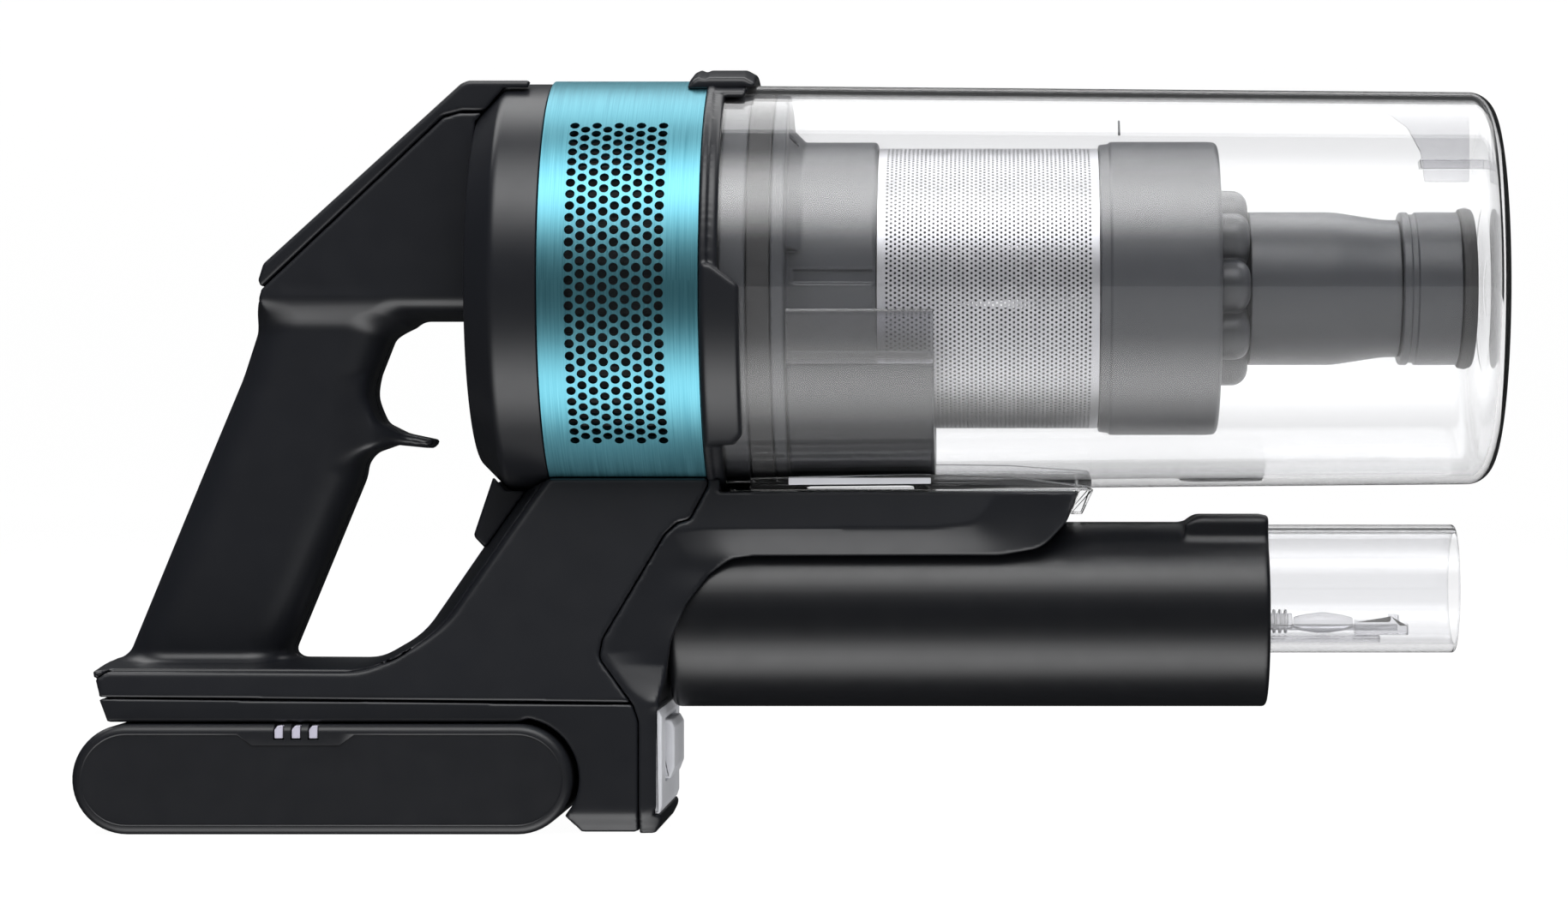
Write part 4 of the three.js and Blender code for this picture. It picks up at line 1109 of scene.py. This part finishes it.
def mesh_shroud():
    """The fine screen, in two half shells that interlock along a zigzag."""
    pitch, margin, hole_r, around = 1.15, 2.0, 0.40, 184
    count = int((SHROUD_FRONT - SHROUD_BACK - 2 * margin) / pitch)
    start = (SHROUD_BACK + SHROUD_FRONT - count * pitch) / 2
    columns = [SHROUD_BACK, *(start + pitch * k for k in range(count + 1)), SHROUD_FRONT]
    half_steps = 2 * around

    def has_hole(column, step):
        return 1 <= column <= count and step % 2 == column % 2

    sheet, faces = hole_sheet(columns, half_steps, has_hole, hole_r, SHROUD_R, 6)
    middle = np.array([sheet[face, 1].mean() for face in faces]) % (2 * math.pi)
    for name, keep in (("left", np.cos(middle) > 0), ("right", np.cos(middle) <= 0)):
        chosen = [list(face) for face, wanted in zip(faces, keep) if wanted]
        verts, solid = rolled(sheet, chosen, SHROUD_R, 0.5)
        used = sorted({i for face in solid for i in face})
        renumber = {old: new for new, old in enumerate(used)}
        solid = [[renumber[i] for i in face] for face in solid]
        piece("mesh_shroud_" + name, verts[used], solid, ["mesh_shroud"], sharp=40)


def cyclone_housing():
    back, front = low("cyclone_housing")[0], high("cyclone_housing")[0]
    radius = CONE_HOUSING_R
    profile = fillet(
        [
            (back, 38.4, 0.2), (front - 2.3, 38.4, 1), (front - 2.3, 15, 0.3), (front, 15, 0.3),
            (front, radius - 0.2, 1.6),
            (front - 3, radius, 0), (back + 3.2, radius, 1), (back + 2.6, radius - 0.6, 0.3),
            (back, radius - 0.9, 0.6),
        ],
        turn=12,
    )
    turned("cyclone_housing", profile, ["cyclone_housing"], 240)


def cone_tips(x, y, z):
    """A ring of nine rounded cone ends round a core."""
    up, across = z - AXIS_Z, y
    turn = 2 * math.pi / 9
    angle = np.arctan2(up, -across)
    local = angle - turn * np.round(angle / turn)
    radius = np.hypot(up, across)
    u, v = radius * np.cos(local) - 20.3, radius * np.sin(local)
    start, end = low("cone_tips")[0], high("cone_tips")[0]
    lobe = both(np.hypot(u, v) - 7.2, x - end, 4.5)
    core = both(radius - 19.5, x - end + 1.2, 2.5)
    return both(either(lobe, core, 2.0), start - x, 0.3)


def dust_tube_parts():
    profile = fillet(
        [
            (126.1, 19.6, 0.3), (147.8, 19.6, 30), (165.8, 17.2, 30), (167.9, 17.2, 0.2),
            (167.9, 19.2, 0.4),
            (163.8, 19.2, 30), (149.8, DUST_TUBE_R, 30), (126.1, DUST_TUBE_R, 0.4),
        ],
        turn=2,
    )
    turned("dust_tube", profile, ["dust_tube"], 160)
    profile = fillet(
        [
            (168.2, 17.2, 0.3), (184.4, 17.2, 0.3), (184.4, DUST_TUBE_R, 0.4),
            (172.6, DUST_TUBE_R, 0.3),
            (172.2, 20.8, 0.2), (170.8, 20.8, 0.2), (170.4, DUST_TUBE_R, 0.3),
            (168.2, DUST_TUBE_R, 0.6),
        ],
        turn=20,
    )
    turned("dust_tube_collar", profile, ["dust_tube_collar"], 160)
    profile = fillet(
        [
            (184.7, 17.2, 0.3), (188.5, 17.2, 0.6), (188.5, 22, 0.9), (186.6, 22.6, 0.6),
            (184.7, 22.2, 0.5),
        ],
        turn=20,
    )
    turned("dust_tube_seal", profile, ["dust_tube_seal"], 160)


GUIDE_X0, GUIDE_X1, GUIDE_OUTER = -0.7, 39, 53.5


def inlet_guide(x, y, z):
    """The channel that turns the air from the port into a swirl."""
    radius = about(y, z)
    angle = np.degrees(np.arctan2(z - AXIS_Z, y)) % 360
    middle = (angle - 250) * 0.83
    body = both(np.abs(radius - 47.75) - 5.75, np.abs(x - 19.15) - 19.85, 0.8)
    body = both(body, np.abs(middle) - 45 * 0.83, 0.6)
    hollow = both(np.abs(radius - 47.75) - 4.15, np.abs(x - 19.15) - 18.25, 0.5)
    hollow = np.maximum(hollow, middle - 42 * 0.83)
    port = np.maximum(np.abs(x - PORT_X) - PORT_HALF_X, np.maximum(np.abs(y) - PORT_HALF_Y, z - 101))
    return without(body, np.minimum(hollow, port), 0.2)


def guide_window():
    """The clear strip that closes the channel's side above its opaque part."""
    turn = np.radians(np.arange(188, 206, 2))
    outer = [(GUIDE_OUTER * math.cos(t), AXIS_Z + GUIDE_OUTER * math.sin(t)) for t in turn]
    within = GUIDE_OUTER - 1.6
    inner = [(within * math.cos(t), AXIS_Z + within * math.sin(t)) for t in turn[::-1]]
    verts, faces = slab(outer + inner, GUIDE_X0, GUIDE_X1, 0.3, 2)
    flat_shading(piece("inlet_guide_window", [(y, x, z) for x, y, z in verts], faces, ["inlet_guide"],
                       material=MATERIALS["smoked_clear"]))


def gasket_ring():
    turned("flange_gasket", ring_profile(-11.1, -4.9, 54.1, 52.2, 0.5), ["flange_gasket"], 200)


# ---------------------------------------------------------------- bin and lever


def bin_shell():
    end, wall = BIN_END, BIN_WALL
    outer = fillet(
        [
            (BIN_BACK, BIN_BACK_R - wall), (BIN_BACK, BIN_BACK_R, 0.5), (60, BIN_BACK_R - 0.67),
            (end - 1, BIN_END_R - 0.05, 7),
            (end - 0.6, 24, 20), (end, 8, 20), (end, 0),
        ],
        closed=False, turn=5,
    )
    inner = fillet(
        [
            (end - wall, 0), (end - wall - 0.1, 8, 20), (end - wall - 0.8, 24, 20),
            (end - wall - 1.2, BIN_END_R - wall - 0.05, 4.5), (60, BIN_BACK_R - 0.67 - wall),
            (BIN_BACK, BIN_BACK_R - wall),
        ],
        closed=False, turn=5,
    )
    obj = piece("bin_shell", *lathe(outer[1:] + inner, 240), ["bin_shell"])
    x0, x1, half = PORT_X - PORT_HALF_X, PORT_X + PORT_HALF_X, PORT_HALF_Y
    corners = fillet([(x0, -half, 2), (x1, -half, 2), (x1, half, 2), (x0, half, 2)], turn=20)
    verts, faces = slab(corners, 85, 105, 0.0, 1)
    cut_from(obj, tool([(x, z, y) for x, y, z in verts], faces))
    for polygon in obj.data.polygons:
        polygon.use_smooth = True
    flat_shading(obj)
    fin = fillet(
        [
            (162.4, 200.4, 0.4), (165, 199, 1), (171, 194.6, 3), (174.6, 188, 3),
            (175.6, 179.6, 0.8), (188.2, 179.6, 0.8),
            (188.2, 200.3, 0.4),
        ],
        turn=15,
    )
    tint = MATERIALS["tinted_clear"]
    flat_piece("bin_fin", fin, -1.1, 1.1, 0.35, ["bin_shell"], 3, tint)
    rib = fillet([(174.4, 183.2, 0.4), (192.6, 183.2, 0.4), (192.6, 185.9, 0.4), (174, 185.9, 0.4)], turn=25)
    flat_piece("bin_fin_rib", rib, -3.4, 3.4, 0.4, ["bin_shell"], 3, tint)


def fill_mark():
    """A short plain line on the bin that says how full it may be."""
    steps = np.radians(180 - np.arange(46, 54))
    sheet = np.array([(x, t) for t in steps for x in (88.9, 89.5)])
    faces = [(2 * i, 2 * i + 1, 2 * i + 3, 2 * i + 2) for i in range(len(steps) - 1)]
    verts, faces = rolled(sheet, faces, BIN_BACK_R - 0.93, 0.12)
    piece("fill_mark", verts, faces, ["bin_shell"], material=MATERIALS["dark_grey_plastic"])


def bin_lever():
    """Two clear rails under the bin, joined by a lip at the front."""
    base = low("bin_lever")
    bottom, front = 93.4, high("bin_lever")[0]
    rail = fillet(
        [
            (-11.5, bottom, 0.4), (front - 1, bottom, 0.8), (front - 0.2, bottom + 1.2, 0.6),
            (60, bottom + 4.0, 10),
            (34, bottom + 4.6, 10), (-11.5, bottom + 3.6, 0.5),
        ],
        turn=12,
    )
    for name, y0, y1 in (("right", -27, -22.6), ("left", 22.6, 27)):
        flat_piece("bin_lever_rail_" + name, rail, y0, y1, 0.5, ["bin_lever"], 3)
    strip = fillet([(-1, 95.0, 0.3), (38, 95.3, 0.3), (38, 97.0, 0.3), (-1, 97.0, 0.3)], turn=30)
    for name, y0, y1 in (("right", -27.05, -24), ("left", 24, 27.05)):
        pale = MATERIALS["pale_grey_plastic"]
        flat_piece("bin_lever_pad_" + name, strip, y0, y1, 0.2, ["bin_lever"], 2, pale)
    lip = fillet(
        [
            (75.9, base[2], 0.4), (79.4, base[2], 0.6), (front, bottom, 0.5),
            (front, bottom + 0.5, 0.3),
            (78.7, bottom + 0.5, 0.6),
        ],
        turn=20,
    )
    flat_piece("bin_lever_lip", lip, -26.5, 26.5, 0.5, ["bin_lever"], 3)


# ---------------------------------------------------------------- nozzle tube and its contact


def nozzle_parts():
    profile = fillet(
        [
            (TUBE_BACK, TUBE_BORE_R, 0.3), (TUBE_FRONT, TUBE_BORE_R, 0.6),
            (TUBE_FRONT, TUBE_R, 0.8), (TUBE_BACK, TUBE_R, 0.3),
        ],
        turn=15,
    )
    turned("nozzle_tube", profile, ["nozzle_tube"], 192, TUBE_Z, MATERIALS["nozzle_clear"])
    ribs = []
    for k in range(4):
        x = 131.4 + 1.6 * k
        ribs += [(x, 2.3, 0.2), (x + 0.2, 3.4, 0.3), (x + 0.9, 3.4, 0.3), (x + 1.1, 2.3, 0.2)]
    profile = [(129.5, 0), (129.5, 2.3, 0.3), *ribs, (138.6, 2.3, 0.3), (138.6, 0)]
    profile = fillet(profile, closed=False, turn=30)
    tint = MATERIALS["tinted_clear"]
    turned("contact_socket", profile, ["contact_carrier"], 64, 56.6, tint)
    profile = fillet(
        [
            (139, 0), (139, 1.6, 0.3), (141, 2.2, 1), (147, 3.1, 6), (153, 2.2, 1),
            (155.5, 1.5, 0.3), (155.5, 0),
        ],
        closed=False, turn=8,
    )
    turned("contact_tube", profile, ["contact_carrier"], 64, 56.2, tint)
    block_outline = fillet(
        [
            (156, 53, 0.4), (171, 53, 0.4), (171, 56, 0.4), (168.4, 56, 0.4), (168.4, 58.6, 0.4),
            (165.6, 58.6, 0.4),
            (165.6, 57, 0.4), (156, 57, 0.4),
        ],
        turn=30,
    )
    flat_piece("contact_block", block_outline, -3.2, 3.2, 0.4, ["contact_carrier"], 3, tint)
    shelf = fillet([(118, 51.3, 0.3), (163, 51.3, 0.3), (163, 52.9, 0.3), (118, 52.9, 0.3)], turn=30)
    flat_piece("contact_shelf", shelf, -4.6, 4.6, 0.3, ["contact_carrier"], 3, tint)


# ---------------------------------------------------------------- foot plate and release button


def foot_plate():
    """The pale plate on the foot's front, and the button in its window."""
    back, face = low("charge_plate")[0], high("charge_plate")[0]
    outline = fillet(
        [
            (back, 5.4, 0.3), (face - 0.7, 5.4, 0.4), (face, 7.4, 0.6), (face, 31.8, 0.8),
            (face - 1.0, 33.7, 0.5),
            (back, 33.7, 0.3)
        ],
        turn=12,
    )
    plate = piece("charge_plate", *slab(outline, -32, 32, 0.6), ["charge_plate"])
    cut_from(plate, tool(*block(back - 5, face + 5, -19.2, 19.2, 13.2, 30.8)))
    flat_shading(plate)
    front = high("battery_release_button")[0]
    pad = fillet(
        [
            (back - 1, 13.9, 0.3), (front - 1.2, 13.9, 0.6), (front, 17, 1.4), (front, 28, 1.6),
            (front - 1.1, 30, 0.8),
            (back - 1, 30, 0.3),
        ],
        turn=12,
    )
    flat_piece("battery_release_button", pad, -18, 18, 0.8, ["battery_release_button"])


# ---------------------------------------------------------------- battery

# Dip of the face's rim round the windows
RECESS = [(-150.2, 27.4), (-146.2, 24.4), (-122.4, 24.4), (-118.4, 27.4)]


def stadium(points_per_end=28):
    """Battery's side outline, anticlockwise, with points on its top line at the recess's corners."""
    radius = BATTERY_TOP / 2
    turn = np.linspace(-math.pi / 2, math.pi / 2, points_per_end)
    right = [(BATTERY_FRONT - radius + radius * math.cos(t), radius + radius * math.sin(t)) for t in turn]
    left = [(BATTERY_BACK + radius - radius * math.cos(t), radius - radius * math.sin(t)) for t in turn]
    top = [(x, BATTERY_TOP) for x in (-108, *(x for x, _ in reversed(RECESS)), -160)]
    return right + top + left


def battery_outline(by, dip):
    """The outline moved inwards. With dip, its top line follows the recess instead."""
    points = inset(stadium(), by)
    if dip:
        for i, (x, _) in enumerate(stadium()):
            for recess_x, recess_z in RECESS:
                if abs(x - recess_x) < 1e-6:
                    points[i] = (recess_x, min(recess_z, points[i][1]))
    return points


def battery_half(sign, nodes):
    wall, edge = 2.0, 2.4
    quarter = [math.pi / 2 * k / 6 for k in range(7)]
    dip = sign < 0
    outer = [(0, GAP / 2, False)] + [
        (edge * (1 - math.cos(t)), BATTERY_HALF - edge * (1 - math.sin(t)), False) for t in quarter
    ]
    outer += [(2.6, BATTERY_HALF, dip), (2.9, BATTERY_HALF - 0.35, dip)]
    inner = [
        (wall + 2, BATTERY_HALF - wall - 0.4, False), (wall, BATTERY_HALF - wall - 2, False),
        (wall, GAP / 2, False),
    ]

    def at(station):
        by, y, dipped = station
        return [(x, sign * y, z) for x, z in battery_outline(by, dipped)]

    verts, faces = lofted(at, outer[::-1], cap_last=False)
    more, more_faces = lofted(at, inner, cap_last=False)
    shift = len(verts)
    count = len(stadium())
    verts += more
    faces = [list(face) for face in faces]
    faces += [[i + shift for i in face][::-1] for face in more_faces]
    outer_rim = [shift - count + i for i in range(count)]
    inner_rim = [len(verts) - count + i for i in range(count)]
    for i in range(count):
        k = (i + 1) % count
        faces.append([outer_rim[i], outer_rim[k], inner_rim[k], inner_rim[i]])
    obj = piece("battery_case_" + nodes[0].rsplit("_", 1)[1], verts, faces, nodes)
    recalculated(obj)
    return obj


def recalculated(obj):
    made = bmesh.new()
    made.from_mesh(obj.data)
    bmesh.ops.recalc_face_normals(made, faces=made.faces)
    made.to_mesh(obj.data)
    made.free()


def battery():
    flat_shading(battery_half(1, ["battery_case_left"]))
    right = battery_half(-1, ["battery_case_right"])
    windows = ["led_window_1", "led_window_2", "led_window_3"]
    tools = []
    for name in windows:
        a, b = low(name), high(name)
        tools.append(tool(*block(a[0] - GAP, b[0] + GAP, -45, b[1] + GAP, a[2] - GAP, 40)))
    cut_from(right, *tools)
    flat_shading(right)
    for name in windows:
        a, b = low(name), high(name)
        outline = fillet(
            [
                (a[0], a[2], 0.3), (b[0], a[2], 0.3), (b[0], b[2] - 0.1, 0.2),
                (a[0] + 0.9, b[2] - 0.1, 0.4), (a[0], b[2] - 1.2, 0.4),
            ],
            turn=20,
        )
        flat_piece(name, outline, a[1] - 0.1, b[1], 0.25, [name], 3, MATERIALS["led_lens"])


# ---------------------------------------------------------------- pieces that stay as CAD nodes


def finish_inner_nodes():
    """The pieces inside keep their CAD shape, with softened edges and their own materials, except the cone
    block, which is made black as painted shade behind the mesh's holes.
    """
    replaced = {name for obj in bpy.data.objects for name in (obj.get("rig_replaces") or [])}
    for name, obj in frame["nodes"].items():
        if name in replaced:
            continue
        obj.data.materials.clear()
        # Painted shade: the cone block is black instead of its own material, so the mesh shroud's holes look
        # dark.
        finish_or_painted_shade = "black_plastic" if name == "cone_block" else SLOT_OF[name]
        obj.data.materials.append(MATERIALS[finish_or_painted_shade])
        bevel = obj.modifiers.new("edges", "BEVEL")
        bevel.width, bevel.segments = 0.2 * MM, 2
        bevel.limit_method, bevel.angle_limit = "ANGLE", math.radians(40)
        for polygon in obj.data.polygons:
            polygon.use_smooth = False


# ---------------------------------------------------------------- stage, light and camera


def stage():
    """A self-lit floor that curves up into a backdrop. It casts no shadow, and reflections leave it out."""
    half_width, front, back, rise, bend = 9.0, -9.0, 7.0, 3.0, 1.0
    profile = [(front, 0)] + [(front + (back - front) * k / 12, 0) for k in range(1, 13)]
    turn = np.radians(np.arange(6, 91, 6))
    profile += [(back + bend * math.sin(t), bend * (1 - math.cos(t))) for t in turn]
    profile += [(back + bend, rise)]
    verts = [(x, y, z) for y, z in profile for x in (-half_width, half_width)]
    faces = [(2 * i, 2 * i + 1, 2 * i + 3, 2 * i + 2) for i in range(len(profile) - 1)]
    mesh = bpy.data.meshes.new("floor")
    mesh.from_pydata(verts, [], faces)
    for polygon in mesh.polygons:
        polygon.use_smooth = True
    floor = bpy.data.objects.new("floor", mesh)
    bpy.context.scene.collection.objects.link(floor)
    material, tree, bsdf = shader("pale_floor")
    bsdf.inputs["Base Color"].default_value = (0.05, 0.05, 0.05, 1)
    bsdf.inputs["Roughness"].default_value = 0.9
    bsdf.inputs["Specular IOR Level"].default_value = 0.1
    bsdf.inputs["Emission Color"].default_value = (1, 1, 1, 1)
    bsdf.inputs["Emission Strength"].default_value = FLOOR_GLOW
    material.cycles.emission_sampling = "NONE"
    mesh.materials.append(material)
    floor.visible_glossy = False
    floor.visible_shadow = False


def softbox(name, place_at, aim, size, watts):
    light = bpy.data.lights.new(name, "AREA")
    light.shape = "RECTANGLE"
    light.size, light.size_y = size
    light.energy = watts
    obj = bpy.data.objects.new(name, light)
    obj.location = place_at
    obj.rotation_euler = (Vector(aim) - Vector(place_at)).to_track_quat("-Z", "Y").to_euler()
    bpy.context.scene.collection.objects.link(obj)


def diffuser(name, place_at, tilt, half_x, half_y, glow):
    """A large glowing panel, brightest in its middle and fading to its edges."""
    corners = [(-half_x, -half_y, 0), (half_x, -half_y, 0), (half_x, half_y, 0), (-half_x, half_y, 0)]
    mesh = bpy.data.meshes.new(name)
    mesh.from_pydata(corners, [], [(3, 2, 1, 0)])
    obj = bpy.data.objects.new(name, mesh)
    obj.location = place_at
    obj.rotation_euler = (math.radians(tilt), 0, 0)
    obj.visible_camera = False
    bpy.context.scene.collection.objects.link(obj)
    material, tree, bsdf = shader(name)
    tree.nodes.remove(bsdf)
    split = node(tree, "ShaderNodeSeparateXYZ")
    tree.links.new(place(tree), split.inputs[0])
    fades = []
    for axis, half in ((0, half_x), (1, half_y)):
        distance = node(tree, "ShaderNodeMath", operation="ABSOLUTE")
        tree.links.new(split.outputs[axis], distance.inputs[0])
        fade = node(tree, "ShaderNodeMapRange", interpolation_type="SMOOTHSTEP")
        fade.inputs["From Min"].default_value = half
        fade.inputs["From Max"].default_value = 0
        fade.inputs["To Max"].default_value = math.sqrt(glow)
        tree.links.new(distance.outputs[0], fade.inputs["Value"])
        fades.append(fade.outputs["Result"])
    product = node(tree, "ShaderNodeMath", operation="MULTIPLY")
    tree.links.new(fades[0], product.inputs[0])
    tree.links.new(fades[1], product.inputs[1])
    emission = node(tree, "ShaderNodeEmission")
    tree.links.new(product.outputs[0], emission.inputs["Strength"])
    tree.links.new(emission.outputs[0], tree.nodes["Material Output"].inputs["Surface"])
    mesh.materials.append(material)
    return obj


def lights():
    """A high diffuser in front, a low one that only the sheen shows, and a soft light from behind."""
    diffuser("high_diffuser", (0.0, -0.77, 1.17), 35, 1.3, 0.75, HIGH_GLOW)
    low_one = diffuser("low_diffuser", (0.0, -0.69, -0.90), -32, 1.5, 0.75, LOW_GLOW)
    low_one.visible_diffuse = False
    softbox("backdrop_light", (0.0, 1.0, 1.9), (0.0, 1.35, 0.0), (3.6, 1.6), 52)
    world = bpy.data.worlds.new("studio")
    bpy.context.scene.world = world
    world.use_nodes = True
    background = world.node_tree.nodes["Background"]
    background.inputs["Color"].default_value = (0.9, 0.95, 1.0, 1)
    background.inputs["Strength"].default_value = 0.02


def camera():
    """Level side view from 1.2 m away, from nearer the bin. The shifted frame centres the object."""
    data = bpy.data.cameras.new("camera")
    data.sensor_width = 36
    data.lens = 98.41
    data.shift_x = -0.1375
    data.clip_end = 20
    obj = bpy.data.objects.new("camera", data)
    obj.location = (0.0568, -1.2, 0.1032)
    obj.rotation_euler = (math.pi / 2, 0, 0)
    bpy.context.scene.collection.objects.link(obj)
    bpy.context.scene.camera = obj


def build():
    build_housing()
    moulded("battery_dock", dock, (-189, -34, 0), (-41, 34, 37), ["battery_dock"])
    moulded("front_bracket", bracket, (-53, -34, 0), (79, 34, 98), ["front_bracket"])
    moulded("intake_duct", duct, (-35, -26, 32), (132, 26, 87), ["intake_duct"])
    build_panel()
    vent_ring()
    rear_cap()
    moulded("collar", collar, (-24, -60, 90), (-12, 60, 210), ["collar"], VOXEL * 0.9)
    moulded("top_latch", top_latch, (-30, -21, 200), (-10, 21, 211), ["top_latch"], VOXEL * 0.6)
    moulded("arm_lug", lug, (-89, -15, 77), (-70, 15, 99), ["arm_lug"], VOXEL * 0.8)
    moulded("cyclone_flange", flange, (-19, -54, 95), (24, 54, 204), ["cyclone_flange"], VOXEL * 0.9)
    gasket_ring()
    mesh_shroud()
    cyclone_housing()
    moulded("cone_tips", cone_tips, (117, -28, 121), (126, 28, 178), ["cone_tips"], VOXEL * 0.8)
    dust_tube_parts()
    guide = moulded("inlet_guide", inlet_guide, (-1, -50, 95), (40, 23, 129), ["inlet_guide"], VOXEL * 0.8)
    guide.data.materials[0] = MATERIALS["black_plastic"]
    guide_window()
    bin_shell()
    fill_mark()
    bin_lever()
    nozzle_parts()
    foot_plate()
    battery()
    finish_inner_nodes()


bpy.context.scene.view_settings.view_transform = "Standard"
camera()
lights()
stage()
build()
